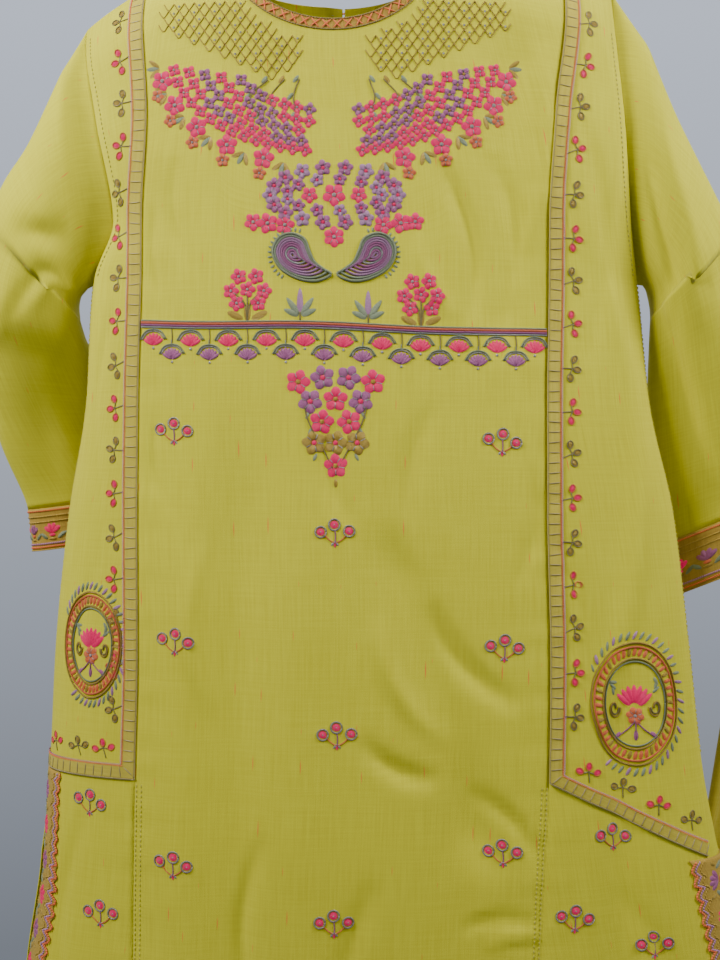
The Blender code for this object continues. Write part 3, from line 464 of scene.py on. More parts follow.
def ring_faces_out(points, row, column):
    """Turn the rings' order round if their faces would point inwards, as seen at one corner."""
    a, b, c = points[row, column], points[row, column + 1], points[row + 1, column]
    inwards = np.dot(np.cross(b - a, c - a), a - points[row].mean(axis=0)) < 0
    return np.concatenate([points[:, :1], points[:, :0:-1]], axis=1) if inwards else points


# The weave that every cotton piece shares: yarn ridges both ways, thick and thin yarns, and the mask
# of the coral slubs, which lie along the warp in about two of three cells of a scatter.
BARE_CELLS = 0.36


def node_group(name, inputs, outputs):
    group = bpy.data.node_groups.new(name, "ShaderNodeTree")
    for label, kind, value in inputs:
        socket = group.interface.new_socket(label, in_out="INPUT", socket_type=kind)
        if value is not None:
            socket.default_value = value
    for label, kind in outputs:
        group.interface.new_socket(label, in_out="OUTPUT", socket_type=kind)
    return group, group.nodes.new("NodeGroupInput"), group.nodes.new("NodeGroupOutput")


def math_node(tree, operation, first, second=0.5, third=None, clamp=False):
    inputs = {0: first, 1: second}
    if third is not None:
        inputs[2] = third
    return add_node(tree, "ShaderNodeMath", inputs, operation=operation, use_clamp=clamp).outputs[0]


def make_weave_group():
    """Yarn height, yarn shade and slub mask from UVs in metres."""
    group, given, result = node_group(
        "slub_weave",
        [("UV", "NodeSocketVector", None), ("Yarns per metre", "NodeSocketFloat", 1500.0)],
        [("Height", "NodeSocketFloat"), ("Shade", "NodeSocketFloat"), ("Slub", "NodeSocketFloat")])
    split = add_node(group, "ShaderNodeSeparateXYZ", {0: given.outputs["UV"]})
    heights = []
    for axis in (0, 1):
        turns = math_node(group, "MULTIPLY", split.outputs[axis], given.outputs["Yarns per metre"])
        heights.append(math_node(group, "SINE", math_node(group, "MULTIPLY", turns, 2 * math.pi)))
    ridges = math_node(group, "MULTIPLY", heights[0], heights[1])
    streaks = []
    for stretch in ((900.0, 26.0, 1.0), (22.0, 800.0, 1.0)):
        scaled = add_node(group, "ShaderNodeVectorMath", {0: given.outputs["UV"], 1: stretch},
                          operation="MULTIPLY")
        noise = add_node(group, "ShaderNodeTexNoise",
                         {"Vector": scaled.outputs[0], "Scale": 1.0, "Detail": 2.0})
        streaks.append(noise.outputs["Fac"])
    yarn = math_node(group, "ADD", math_node(group, "MULTIPLY", streaks[0], 0.62),
                     math_node(group, "MULTIPLY", streaks[1], 0.38))
    height = math_node(group, "ADD", math_node(group, "MULTIPLY", ridges, 0.25), yarn)
    scaled = add_node(group, "ShaderNodeVectorMath", {0: given.outputs["UV"], 1: (42.0, 19.0, 1.0)},
                      operation="MULTIPLY")
    cells = add_node(group, "ShaderNodeTexVoronoi",
                     {"Vector": scaled.outputs[0], "Scale": 1.0, "Randomness": 1.0}, voronoi_dimensions="2D")
    apart = add_node(group, "ShaderNodeVectorMath", {0: scaled.outputs[0], 1: cells.outputs["Position"]},
                     operation="SUBTRACT")
    narrow = add_node(group, "ShaderNodeVectorMath", {0: apart.outputs[0], 1: (42.0, 8.0, 0.0)},
                      operation="MULTIPLY")
    distance = add_node(group, "ShaderNodeVectorMath", {0: narrow.outputs[0]}, operation="LENGTH")
    colour = add_node(group, "ShaderNodeSeparateColor", {0: cells.outputs["Color"]})
    has_slub = math_node(group, "GREATER_THAN", colour.outputs[0], BARE_CELLS)
    reach = math_node(group, "MULTIPLY_ADD", colour.outputs[1], 0.9, 0.25)
    outward = math_node(group, "DIVIDE", distance.outputs["Value"], reach)
    slub = math_node(group, "MULTIPLY", has_slub, math_node(group, "SUBTRACT", 1.0, outward, clamp=True))
    group.links.new(height, result.inputs["Height"])
    group.links.new(yarn, result.inputs["Shade"])
    group.links.new(math_node(group, "MULTIPLY", slub, 1.6, clamp=True), result.inputs["Slub"])
    return group


weave_group = make_weave_group()


def cotton(name, light, deep, slub_colour, slub_strength=0.8, bump=0.00025):
    """Slub cotton between two shades of its own yarn."""
    finish = bpy.data.materials.new(name)
    finish.use_nodes = True
    tree = finish.node_tree
    shader = tree.nodes["Principled BSDF"]
    uv = tree.nodes.new("ShaderNodeUVMap")
    uv.uv_map = "cloth"
    weave = tree.nodes.new("ShaderNodeGroup")
    weave.node_tree = weave_group
    tree.links.new(uv.outputs[0], weave.inputs["UV"])
    wide = add_node(tree, "ShaderNodeTexNoise", {"Vector": uv.outputs[0], "Scale": 9.0, "Detail": 3.0})
    shade = math_node(tree, "MULTIPLY_ADD", weave.outputs["Shade"], 1.9, -0.42, clamp=True)
    worn = math_node(tree, "MULTIPLY_ADD", wide.outputs["Fac"], 0.5, -0.25)
    blend = math_node(tree, "ADD", shade, worn, clamp=True)
    body_colour = mix_colour(tree, blend, (*deep, 1.0), (*light, 1.0))
    strength = math_node(tree, "MULTIPLY", weave.outputs["Slub"], slub_strength)
    tree.links.new(mix_colour(tree, strength, body_colour, (*slub_colour, 1.0)), shader.inputs["Base Color"])
    rough = math_node(tree, "MULTIPLY_ADD", weave.outputs["Shade"], -0.12, 0.90)
    tree.links.new(rough, shader.inputs["Roughness"])
    lumps = math_node(tree, "MULTIPLY", weave.outputs["Slub"], 0.7)
    raised = math_node(tree, "ADD", weave.outputs["Height"], lumps)
    relief = add_node(tree, "ShaderNodeBump", {"Height": raised, "Distance": bump, "Strength": 0.75})
    tree.links.new(relief.outputs[0], shader.inputs["Normal"])
    shader.inputs["Sheen Weight"].default_value = 0.12
    shader.inputs["Sheen Roughness"].default_value = 0.5
    shader.inputs["Sheen Tint"].default_value = (1.0, 0.97, 0.6, 1.0)
    shader.inputs["Specular IOR Level"].default_value = 0.25
    return finish


kurta_cotton = cotton("lemon_cotton", (0.730, 0.690, 0.030), (0.585, 0.520, 0.014), (0.90, 0.17, 0.03))

HEM_ROWS, UPPER_ROWS = 150, 60
upper_levels = 1 + np.sin(np.linspace(0, 1, UPPER_ROWS + 1)[1:] * math.pi / 2)
panel_rows = np.concatenate([np.linspace(0, 1, HEM_ROWS + 1), upper_levels])


def front_top(x):
    outer = NECK_HALF_WIDTH + NECK_BAND_WIDTH
    inside = np.abs(x - NECK_CENTRE) < outer
    return np.where(inside, neckline_drop(x, outer, NECK_FRONT_DROP + NECK_BAND_WIDTH), shoulder_drop(x))


def neck_or_even(drops, left, right, shares, half_width):
    """X of the columns: evenly between the seams below, gathered towards the neck corners above."""
    even = left + (right - left) * shares
    turn = np.clip((shares - 0.2) / 0.6, 0, 1)
    rounded = NECK_CENTRE - half_width * np.cos(turn * math.pi)
    outer_left = left + (NECK_CENTRE - half_width - left) * np.clip(shares / 0.2, 0, 1)
    to_right = right - NECK_CENTRE - half_width
    outer_right = NECK_CENTRE + half_width + to_right * np.clip((shares - 0.8) / 0.2, 0, 1)
    around = np.where(shares < 0.2, outer_left, np.where(shares > 0.8, outer_right, rounded))
    near = np.clip((UNDERARM_DROP - drops) / 0.16, 0, 1)
    return even + (around - even) * near * near * (3 - 2 * near)


CENTRE_SHARES = np.linspace(0, 1, 101)
SIDE_SHARES = np.linspace(0, 1, 31)
BACK_SHARES = np.linspace(0, 1, 101)


def centre_columns(drops):
    return neck_or_even(drops, body_value("left_seam", drops), body_value("right_seam", drops), CENTRE_SHARES,
                        NECK_HALF_WIDTH + NECK_BAND_WIDTH)


def side_columns(side):
    """Columns from the princess seam to the side seam, closing up round the edge."""
    def columns(drops):
        reach = np.abs(body_value(side, drops))
        seam = np.arcsin(np.abs(body_value(side + "_seam", drops)) / reach)
        x = reach * np.sin(seam + (math.pi / 2 - seam) * SIDE_SHARES)
        return -x if side == "left" else x
    return columns


def back_columns(drops):
    ends = []
    for side, sign in (("left", -1), ("right", 1)):
        reach = np.abs(body_value(side, drops))
        below = np.clip((drops - run_drop(sign * reach)) / (HEM_DROP - LADDER_CORNER_DROP), 0.0, 1.0)
        ends.append(sign * (reach + SLIT_BACK_PEEP * np.minimum(1.0, 5 * below)))
    angle = (BACK_SHARES - 0.5) * math.pi
    reach = np.where(angle < 0, -ends[0], ends[1])
    even = reach * np.sin(angle)
    around = neck_or_even(drops, ends[0], ends[1], BACK_SHARES, NECK_HALF_WIDTH)
    near = np.clip((0.12 - drops) / 0.10, 0, 1)
    x = even + (around - even) * near * near * (3 - 2 * near)
    for step in (-1, 1):
        x[len(x) // 2 + step] = BACK_SLIT_X + step * BACK_SLIT_HALF_GAP
    x[len(x) // 2] = BACK_SLIT_X
    return x


def panel_grid(face, columns, shares, top):
    """Rows from the hem to the underarm and on to the panel's own top edge."""
    grid = []
    for level in panel_rows:
        drops = np.full(len(shares), HEM_DROP + (UNDERARM_DROP - HEM_DROP) * min(level, 1.0))
        for _ in range(4 if level > 1 else 0):
            drops = UNDERARM_DROP + (top(columns(drops)) - UNDERARM_DROP) * (level - 1)
        grid.append(body_surface(face, columns(drops), drops))
    return np.array(grid)


def back_top(x):
    inside = np.abs(x - NECK_CENTRE) < NECK_HALF_WIDTH
    return np.where(inside, neckline_drop(x, NECK_HALF_WIDTH, NECK_BACK_DROP), shoulder_drop(x))


front_grids = {
    "front_centre": panel_grid("front", centre_columns, CENTRE_SHARES, front_top),
    "side_front_left": panel_grid("front", side_columns("left"), SIDE_SHARES, front_top)[:, ::-1],
    "side_front_right": panel_grid("front", side_columns("right"), SIDE_SHARES, front_top),
}
back_grid = panel_grid("back", back_columns, BACK_SHARES, back_top)

panels = {}
for name, grid in front_grids.items():
    panels[name] = sheet_piece(name + "_cloth", row_faces_out(grid, (0, -1, 0)), kurta_cotton, CLOTH_THICKNESS)

panels["back"] = sheet_piece("back_cloth", row_faces_out(back_grid, (0, 1, 0)), kurta_cotton, CLOTH_THICKNESS)
slit_low = NECK_POINT_Z - NECK_BACK_DROP - BACK_SLIT_LENGTH
back_mesh = panels["back"].data
opened = [face.index for face in back_mesh.polygons
          if abs(face.center.x - BACK_SLIT_X) < BACK_SLIT_HALF_GAP and face.center.z > slit_low]
editing = bmesh.new()
editing.from_mesh(back_mesh)
editing.faces.ensure_lookup_table()
bmesh.ops.delete(editing, geom=[editing.faces[index] for index in opened], context="FACES")
editing.to_mesh(back_mesh)
editing.free()

for name, piece in panels.items():
    hand_in(piece, name)

# The sleeves: straight three-quarter sleeves of the same cotton, set into the armholes and creased where
# they fold back under the arm. Each ends in a stitched border, faced in mustard thread.
SLEEVE_COLUMNS = ("key", "outer_x", "outer_y", "outer_drop", "inner_x", "inner_y", "inner_drop", "half_depth")
SLEEVE_ROWS = {
    "left": (
        (1, -0.2053, 0.000, 0.0792, -0.190, 0.002, 0.2365, 0.030),
        (2, -0.2293, 0.000, 0.1316, -0.196, 0.005, 0.243, 0.036),
        (3, -0.2519, 0.000, 0.1688, -0.198, 0.012, 0.252, 0.039),
        (4, -0.2700, 0.002, 0.2446, -0.196, 0.026, 0.270, 0.038),
        (5, -0.2698, 0.010, 0.2873, -0.181, 0.048, 0.300, 0.030),
        (6, -0.2590, 0.024, 0.3466, -0.157, 0.077, 0.344, 0.021),
        (7, -0.2420, 0.038, 0.3983, -0.131, 0.090, 0.382, 0.018),
        (8, -0.2390, 0.041, 0.4300, -0.128, 0.092, 0.4137, 0.018),
    ),
    "right": (
        (1, 0.2175, -0.002, 0.0600, 0.2180, 0.002, 0.2335, 0.030),
        (2, 0.2348, -0.004, 0.1061, 0.2225, 0.004, 0.240, 0.036),
        (3, 0.2727, -0.006, 0.1826, 0.2250, 0.010, 0.252, 0.040),
        (4, 0.2960, -0.008, 0.2300, 0.2260, 0.018, 0.275, 0.038),
        (5, 0.3200, -0.010, 0.2883, 0.2270, 0.028, 0.320, 0.032),
        (6, 0.3382, -0.010, 0.3393, 0.2290, 0.036, 0.375, 0.026),
        (7, 0.3516, -0.008, 0.3735, 0.2330, 0.043, 0.4287, 0.021),
        (8, 0.3560, -0.008, 0.4133, 0.2384, 0.043, 0.4693, 0.020),
    ),
}
# Sleeve creases run between two keys, each with its angle round the arm (0 is the outer edge, a quarter
# turn is the front), and have a width and a depth
SLEEVE_CREASES = {
    "left": (
        (1.0, 2.2, 3.2, 1.2, 0.20, 0.0045),
        (1.6, 2.7, 4.0, 1.5, 0.16, -0.0035),
        (2.2, 2.4, 4.4, 0.9, 0.14, 0.0030),
        (3.4, 1.2, 5.0, 0.5, 0.16, -0.0020),
        (4.2, 2.6, 7.0, 1.6, 0.22, 0.0030),
        (4.8, 1.5, 7.4, 0.9, 0.20, -0.0025),
        (1.4, -2.4, 4.2, -1.2, 0.20, 0.0040),
        (3.0, -2.0, 6.6, -1.1, 0.22, 0.0035),
    ),
    "right": (
        (0.7, 1.9, 3.4, 2.1, 0.17, 0.0075),
        (1.4, 1.2, 4.4, 1.6, 0.20, -0.0030),
        (2.0, 2.6, 5.6, 1.9, 0.18, 0.0040),
        (2.6, 0.9, 6.4, 0.8, 0.20, 0.0028),
        (3.8, 2.2, 7.2, 1.5, 0.17, 0.0045),
        (4.6, 1.2, 7.2, 1.1, 0.14, -0.0025),
        (1.2, -2.2, 4.6, -1.3, 0.22, 0.0045),
        (3.0, -1.2, 6.6, -1.9, 0.20, 0.0040),
    ),
}
SLEEVE_STEPS = 66
CUFF_STEPS = 9
CUFF_THICKNESS = 0.0012


def sleeve_crease(side, key, angles):
    total = np.zeros(len(angles))
    for key_1, angle_1, key_2, angle_2, width, depth in SLEEVE_CREASES[side]:
        if key_1 < key < key_2:
            along = (key - key_1) / (key_2 - key_1)
            middle = angle_1 + (angle_2 - angle_1) * along + 0.12 * math.sin(math.pi * along)
            apart = np.angle(np.exp(1j * (angles - middle)))
            total += depth * math.sin(math.pi * along) ** 0.8 * np.exp(-(apart / width) ** 2)
    return total


def sleeve_points(side, start):
    """The armhole loop, then rings down the arm to the end of the cuff."""
    rows = SLEEVE_ROWS[side]
    last = len(rows)
    keys = np.concatenate([np.linspace(0, last - 1, SLEEVE_STEPS + 1)[1:],
                           np.linspace(last - 1, last, CUFF_STEPS + 1)[1:]])
    angles = 2 * math.pi * np.arange(len(start)) / len(start)
    rings = [start]
    for key in keys:
        at = max(key, 1.0)
        value = {name: float(curve_value(SLEEVE_COLUMNS, rows, name, at)) for name in SLEEVE_COLUMNS[1:]}
        outer, inner = (np.array([value[edge + "_x"], value[edge + "_y"], NECK_POINT_Z - value[edge + "_drop"]])
                        for edge in ("outer", "inner"))
        arm = (outer - inner) / 2
        level = abs(arm[0]) > abs(arm[2])
        depth = unit(np.array([-arm[1], arm[0], 0.0])) if level else np.array([0.0, -1.0, 0.0])
        depth = depth * (-1 if depth[1] > 0 else 1)
        depth = unit(depth - arm * np.dot(depth, arm) / np.dot(arm, arm))
        spread = np.cos(angles)[:, None] * arm + value["half_depth"] * np.sin(angles)[:, None] * depth
        ring = (outer + inner) / 2 + spread
        ring -= unit(spread) * sleeve_crease(side, key, angles)[:, None]
        rings.append(ring if key >= 1 else start * (1 - key) + ring * key)
    return np.array(rings)


mustard_cotton = cotton("mustard_stitching", (0.56, 0.37, 0.060), (0.36, 0.21, 0.025),
                        (0.60, 0.42, 0.10), 0.3)
sleeve_grids = {}
for side in ("left", "right"):
    edge = 0 if side == "left" else -1
    front_edge = front_grids["side_front_" + side][HEM_ROWS:, edge][::-1]
    back_edge = back_grid[HEM_ROWS:, edge]
    sleeve_grids[side] = sleeve_points(side, np.concatenate([front_edge, back_edge[1:-1]]))
    points = ring_faces_out(sleeve_grids[side], 5, 5)
    sleeve = sheet_piece("sleeve_" + side + "_cloth", points[:SLEEVE_STEPS + 1], kurta_cotton, CLOTH_THICKNESS,
                         ring=True)
    cuff = sheet_piece("cuff_" + side + "_border", points[SLEEVE_STEPS:], mustard_cotton, CUFF_THICKNESS,
                       ring=True)
    hand_in(sleeve, "sleeve_" + side)
    hand_in(cuff, "cuff_" + side)

# The neck band and the tapes: a straight band sewn inside the neckline, L-shaped ladder tapes sewn over
# the princess seams and across the side panels, and wide stitched borders down the slits.
NECK_BAND_THICKNESS = 0.0010
band_shares = np.linspace(-1, 1, 121)
band_rows = []
for level in np.linspace(1, 0, 7):
    half_width = NECK_HALF_WIDTH + NECK_BAND_WIDTH * level
    x = NECK_CENTRE + half_width * np.sin(band_shares * math.pi / 2)
    drops = neckline_drop(x, half_width, NECK_FRONT_DROP + NECK_BAND_WIDTH * level)
    band_rows.append(body_surface("front", x, drops))
band_grid = row_faces_out(np.array(band_rows), (0, -1, 0))
neck_band = sheet_piece("neck_band_cloth", band_grid, mustard_cotton, NECK_BAND_THICKNESS)
hand_in(neck_band, "neck_band")

LADDER_TOP_GAP = 0.0006
TAPE_LIFT = 0.0011
TAPE_THICKNESS = 0.0006
tape_cotton = cotton("ladder_ground", (0.640, 0.530, 0.065), (0.480, 0.375, 0.030),
                     (0.80, 0.30, 0.05), 0.3)


def ladder_edges(side, shares_down, shares_across):
    """The tape's edge at the seam and its other edge, from the shoulder to the side."""
    sign = -1 if side == "left" else 1
    top = float(shoulder_drop(body_value(side + "_seam", 0.0))) + LADDER_TOP_GAP
    edges = []
    for width, low in ((0.0, TAPE_WIDTH), (TAPE_WIDTH, 0.0)):
        corner_x = float(body_value(side + "_seam", LADDER_CORNER_DROP)) + sign * width
        end = float(run_drop(corner_x)) + low
        drops = top + (end - top) * shares_down
        line = [(float(body_value(side + "_seam", drop)) + sign * width, drop) for drop in drops]
        for share in shares_across[1:]:
            x = corner_x + (float(body_value(side, LADDER_CORNER_DROP)) * 0.998 - corner_x) * share
            line.append((x, float(run_drop(x)) + low))
        edges.append(np.array(line))
    return edges


for side in ("left", "right"):
    at_seam, beyond = ladder_edges(side, np.linspace(0, 1, 180), np.linspace(0, 1, 40))
    rows = []
    for share in np.linspace(0, 1, 7):
        line = at_seam * (1 - share) + beyond * share
        rows.append(body_surface("front", line[:, 0], line[:, 1], TAPE_LIFT))
    grid = row_faces_out(np.array(rows), (0, -1, 0))
    tape = sheet_piece("ladder_" + side + "_tape", grid, tape_cotton, TAPE_THICKNESS, turned=True)
    hand_in(tape, "ladder_tape_" + side)


def slit_top(side):
    """Drop of the ladder tape's lower edge at the side, where the slit border starts."""
    return float(run_drop(body_value(side, 0.6))) + TAPE_WIDTH


for side, sign in (("left", -1), ("right", 1)):
    top = slit_top(side) + 0.001
    drops = np.linspace(top, HEM_DROP, 100)
    rows = []
    for share in np.linspace(0.004, 1, 14):
        x = across_x(sign * (edge_along(side, drops) - SLIT_BORDER_WIDTH * share), drops)
        rows.append(body_surface("front", x, drops, TAPE_LIFT))
    grid = row_faces_out(np.array(rows), (sign * 0.5, -1, 0))
    border = sheet_piece("slit_" + side + "_border", grid, mustard_cotton, TAPE_THICKNESS, turned=True)
    hand_in(border, "slit_border_" + side)

# The trousers: flared legs of golden yellow cotton, gathered at the top into an elastic waistband, with
# soft folds that deepen towards the open hems.
TROUSER_CENTRE = 0.533
WAIST_Z = -0.120
WAISTBAND_HEIGHT = 0.036
WAISTBAND_THICKNESS = 0.0014
LEG_TOP_GAP = 0.0003
CENTRE_SEAM_GAP = 0.0005
WAIST_HALF_WIDTH = 0.165
WAIST_HALF_DEPTH = 0.016
CROTCH_Z = -0.415
TROUSER_HEM_Z = -1.050
TROUSER_HEM_OUTER = 0.3035
TROUSER_HEM_INNER = 0.012
TROUSER_HEM_HALF_DEPTH = 0.020
WAIST_GATHERS = 26
LEG_RING = 120
LEG_LEVELS = 90
TILT_COLUMNS = ("z", "y")
TILT_ROWS = ((-1.10, 0.066), (-0.70, 0.062), (-0.50, 0.056), (-0.35, 0.038), (-0.16, 0.0), (-0.05, 0.0))
# Each fold of a leg: its place round the leg, drift, width, depth, and how far down the leg it starts
LEG_FOLDS = (
    (0.42, 0.10, 0.17, 0.0060, 0.10), (0.95, -0.08, 0.14, -0.0040, 0.20), (1.45, 0.12, 0.16, 0.0065, 0.05),
    (2.05, -0.12, 0.15, -0.0045, 0.15), (2.60, 0.06, 0.14, 0.0055, 0.25), (3.60, 0.10, 0.16, 0.0050, 0.10),
    (4.20, -0.10, 0.15, -0.0040, 0.20), (4.75, 0.08, 0.17, 0.0060, 0.05), (5.45, -0.06, 0.15, 0.0050, 0.15),
)
trouser_cotton = cotton("golden_cotton", (0.60, 0.49, 0.055), (0.44, 0.34, 0.025), (0.70, 0.24, 0.03), 0.5)


def trouser_y(z):
    return curve_value(TILT_COLUMNS, TILT_ROWS, "y", z)


def waist_ring(angle, z):
    """A point of the waist: 0 is the left side, a quarter turn is the front."""
    ripple = 0.0011 * np.cos(WAIST_GATHERS * angle + 0.9 * np.sin(3 * angle))
    flat = np.sign(np.sin(angle)) * np.abs(np.sin(angle)) ** 0.6
    y = trouser_y(z) - (WAIST_HALF_DEPTH + ripple) * flat
    return np.stack([TROUSER_CENTRE - WAIST_HALF_WIDTH * np.cos(angle), y, z + 0 * angle], axis=-1)


waist_angles = np.linspace(0, 2 * math.pi, 361)[:-1]
waist_rows = [waist_ring(waist_angles, z) for z in np.linspace(WAIST_Z, WAIST_Z - WAISTBAND_HEIGHT, 12)]
waistband = sheet_piece("waistband_cloth", np.array(waist_rows), trouser_cotton, WAISTBAND_THICKNESS,
                        ring=True)
hand_in(waistband, "waistband")

for side, sign in (("left", -1), ("right", 1)):
    angles = 2 * math.pi * np.arange(LEG_RING) / LEG_RING
    top_z = WAIST_Z - WAISTBAND_HEIGHT - LEG_TOP_GAP
    half = LEG_RING // 2
    loop = np.zeros((LEG_RING, 3))
    for i, angle in enumerate(angles):
        if i <= half // 2 or i >= LEG_RING - half // 2:
            point = waist_ring(np.array(angle if i <= half // 2 else angle - 2 * math.pi), top_z)
            from_centre = max(TROUSER_CENTRE - point[0], CENTRE_SEAM_GAP)
            loop[i] = (TROUSER_CENTRE + sign * from_centre, point[1], top_z)
        else:
            share = (i - half / 2) / half
            fall = math.sin(math.pi * share) ** 0.7
            y = float(trouser_y(top_z)) * (1 - fall) + float(trouser_y(CROTCH_Z)) * fall
            loop[i] = (TROUSER_CENTRE + sign * CENTRE_SEAM_GAP,
                       y - WAIST_HALF_DEPTH * math.cos(math.pi * share) * 1.1,
                       top_z + (CROTCH_Z - top_z) * fall)
    reach = (TROUSER_HEM_OUTER - TROUSER_HEM_INNER) / 2
    across = (TROUSER_HEM_OUTER + TROUSER_HEM_INNER) / 2 + reach * np.cos(angles)
    drape = 0.006 * np.cos(5 * angles + (0.0 if side == "left" else 1.1))
    hem_y = float(trouser_y(TROUSER_HEM_Z)) - (TROUSER_HEM_HALF_DEPTH + drape) * np.sin(angles)
    hem = np.stack([TROUSER_CENTRE + sign * across, hem_y, np.full(LEG_RING, TROUSER_HEM_Z)], axis=1)
    rows = []
    for share in np.linspace(1, 0, LEG_LEVELS + 1):
        line = hem * (1 - share) + loop * share
        ends = trouser_y(loop[:, 2]) * share + float(trouser_y(TROUSER_HEM_Z)) * (1 - share)
        line[:, 1] += trouser_y(line[:, 2]) - ends
        relief = np.zeros(LEG_RING)
        for turn, drift, width, depth, start in LEG_FOLDS:
            grown = min(max((1 - share - start) / 0.5, 0.0), 1.0)
            middle = turn + drift * math.sin(5 * (1 - share) + turn)
            relief += depth * grown * np.exp(-(np.angle(np.exp(1j * (angles - middle))) / width) ** 2)
        line[:, 1] += np.sign(np.sin(angles)) * relief * np.minimum(1, 3 * np.abs(np.sin(angles))) * 0.8
        rows.append(line)
    grid = ring_faces_out(np.array(rows), 40, 30)
    leg = sheet_piece("trouser_" + side + "_leg", grid, trouser_cotton, CLOTH_THICKNESS, ring=True)
    hand_in(leg, "trouser_" + side)

# The rod, the hangers and the neck closure: polished steel rod, hooks and clip bar, a varnished wood
# hanger, plain plastic clips, a button covered in the kurta's cotton and its twisted thread loop.
steel = plain_material("polished_steel", (0.56, 0.57, 0.59), 0.24, 1.0)
plastic = plain_material("clip_plastic", (0.72, 0.72, 0.70), 0.42)
loop_thread = plain_material("loop_thread", (0.80, 0.24, 0.08), 0.7)
button_cloth = plain_material("button_cotton", (0.58, 0.54, 0.07), 0.85)
varnish = plain_material("varnished_wood", (0.42, 0.25, 0.11), 0.38)
wood_tree = varnish.node_tree
place_node = wood_tree.nodes.new("ShaderNodeTexCoord")
long_grain = add_node(wood_tree, "ShaderNodeMapping",
                      {0: place_node.outputs["Object"], "Scale": (6.0, 160.0, 160.0)})
grain = add_node(wood_tree, "ShaderNodeTexNoise",
                 {"Vector": long_grain.outputs[0], "Scale": 1.0, "Detail": 4.0})
wood = mix_colour(wood_tree, grain.outputs["Fac"], (0.28, 0.15, 0.06, 1.0), (0.56, 0.36, 0.18, 1.0))
wood_tree.links.new(wood, wood_tree.nodes["Principled BSDF"].inputs["Base Color"])
NODE_FINISHES = {
    "rod": steel, "hanger_hook": steel, "clip_hook": steel, "clip_bar": steel, "hanger_bar": varnish,
    "clip_left": plastic, "clip_right": plastic, "neck_loop": loop_thread, "neck_button": button_cloth,
}
for node, finish in NODE_FINISHES.items():
    mesh = bpy.data.objects[node].data
    mesh.materials.clear()
    mesh.materials.append(finish)

# The stitching that runs in lines: ladder rungs and edge lines, cross stitches on the neck band, rows of
# chain stitch on the cuffs and slit borders, and the topstitching beside the seams. All are laid by one
# set of nodes, which spaces a stitch along a path on the cloth and turns it to the cloth's surface.
THREADS_PER_METRE = 1700.0


def thread(name, colour, sheen=0.08, roughness=0.55, glint=0.0, painted_glow=0.0):
    """Embroidery thread: fine satin lines of a glossy yarn, with painted shade in the grooves between the
    lines, and a little uneven in tone.
    """
    finish = bpy.data.materials.new(name)
    finish.use_nodes = True
    tree = finish.node_tree
    shader = tree.nodes["Principled BSDF"]
    uv = tree.nodes.new("ShaderNodeUVMap")
    uv.uv_map = "cloth"
    split = add_node(tree, "ShaderNodeSeparateXYZ", {0: uv.outputs[0]})
    turns = math_node(tree, "MULTIPLY", split.outputs[1], THREADS_PER_METRE * 2 * math.pi)
    lines = math_node(tree, "SINE", turns)
    place = tree.nodes.new("ShaderNodeTexCoord")
    speckle = add_node(tree, "ShaderNodeTexNoise",
                       {"Vector": place.outputs["Object"], "Scale": 900.0, "Detail": 2.0})
    uneven = math_node(tree, "MULTIPLY_ADD", speckle.outputs["Fac"], 0.9, -0.45)
    # The colour follows the satin lines: painted shade darkens the grooves between them and their crests are
    # lighter; the speckle is the yarn's own uneven tone.
    mix = math_node(tree, "ADD", math_node(tree, "MULTIPLY_ADD", lines, 0.22, 0.45), uneven, clamp=True)
    dark_tone_and_groove_shade = tuple(0.58 * c for c in colour)
    light = tuple(c + (1 - c) * 0.1 * 0.25 for c in colour)
    tree.links.new(mix_colour(tree, mix, (*dark_tone_and_groove_shade, 1.0), (*light, 1.0)), shader.inputs["Base Color"])
    relief = add_node(tree, "ShaderNodeBump", {"Height": lines, "Distance": 0.0002, "Strength": 0.9})
    tree.links.new(relief.outputs[0], shader.inputs["Normal"])
    shader.inputs["Roughness"].default_value = roughness
    shader.inputs["Sheen Weight"].default_value = sheen
    shader.inputs["Metallic"].default_value = glint
    shader.inputs["Specular IOR Level"].default_value = 0.35
    # Painted glow: the emission makes the thread shine in its own colour, brighter than the lamps alone light
    # it.
    shader.inputs["Emission Color"].default_value = (*colour, 1.0)
    shader.inputs["Emission Strength"].default_value = painted_glow
    return finish


# The pink and coral threads carry a painted glow; the others have none.
THREADS = {
    "pink": thread("neon_pink_thread_with_painted_glow", (0.92, 0.0, 0.115), painted_glow=0.30),
    "mauve": thread("mauve_thread", (0.56, 0.15, 0.36)),
    "lilac": thread("lilac_thread", (0.60, 0.29, 0.50)),
    "sage": thread("sage_thread", (0.36, 0.43, 0.24)),
    "silver": thread("silver_thread", (0.50, 0.48, 0.45), 0.05, 0.38, 0.3),
    "gold": thread("gold_thread", (0.62, 0.40, 0.045), 0.05, 0.42, 0.15),
    "coral": thread("coral_thread", (0.95, 0.19, 0.05), painted_glow=0.08),
    "olive": thread("olive_thread", (0.36, 0.27, 0.07)),
    "tan": thread("tan_thread", (0.44, 0.35, 0.15), 0.05, 0.42, 0.2),
    "lemon": thread("lemon_thread", (0.62, 0.56, 0.08)),
}


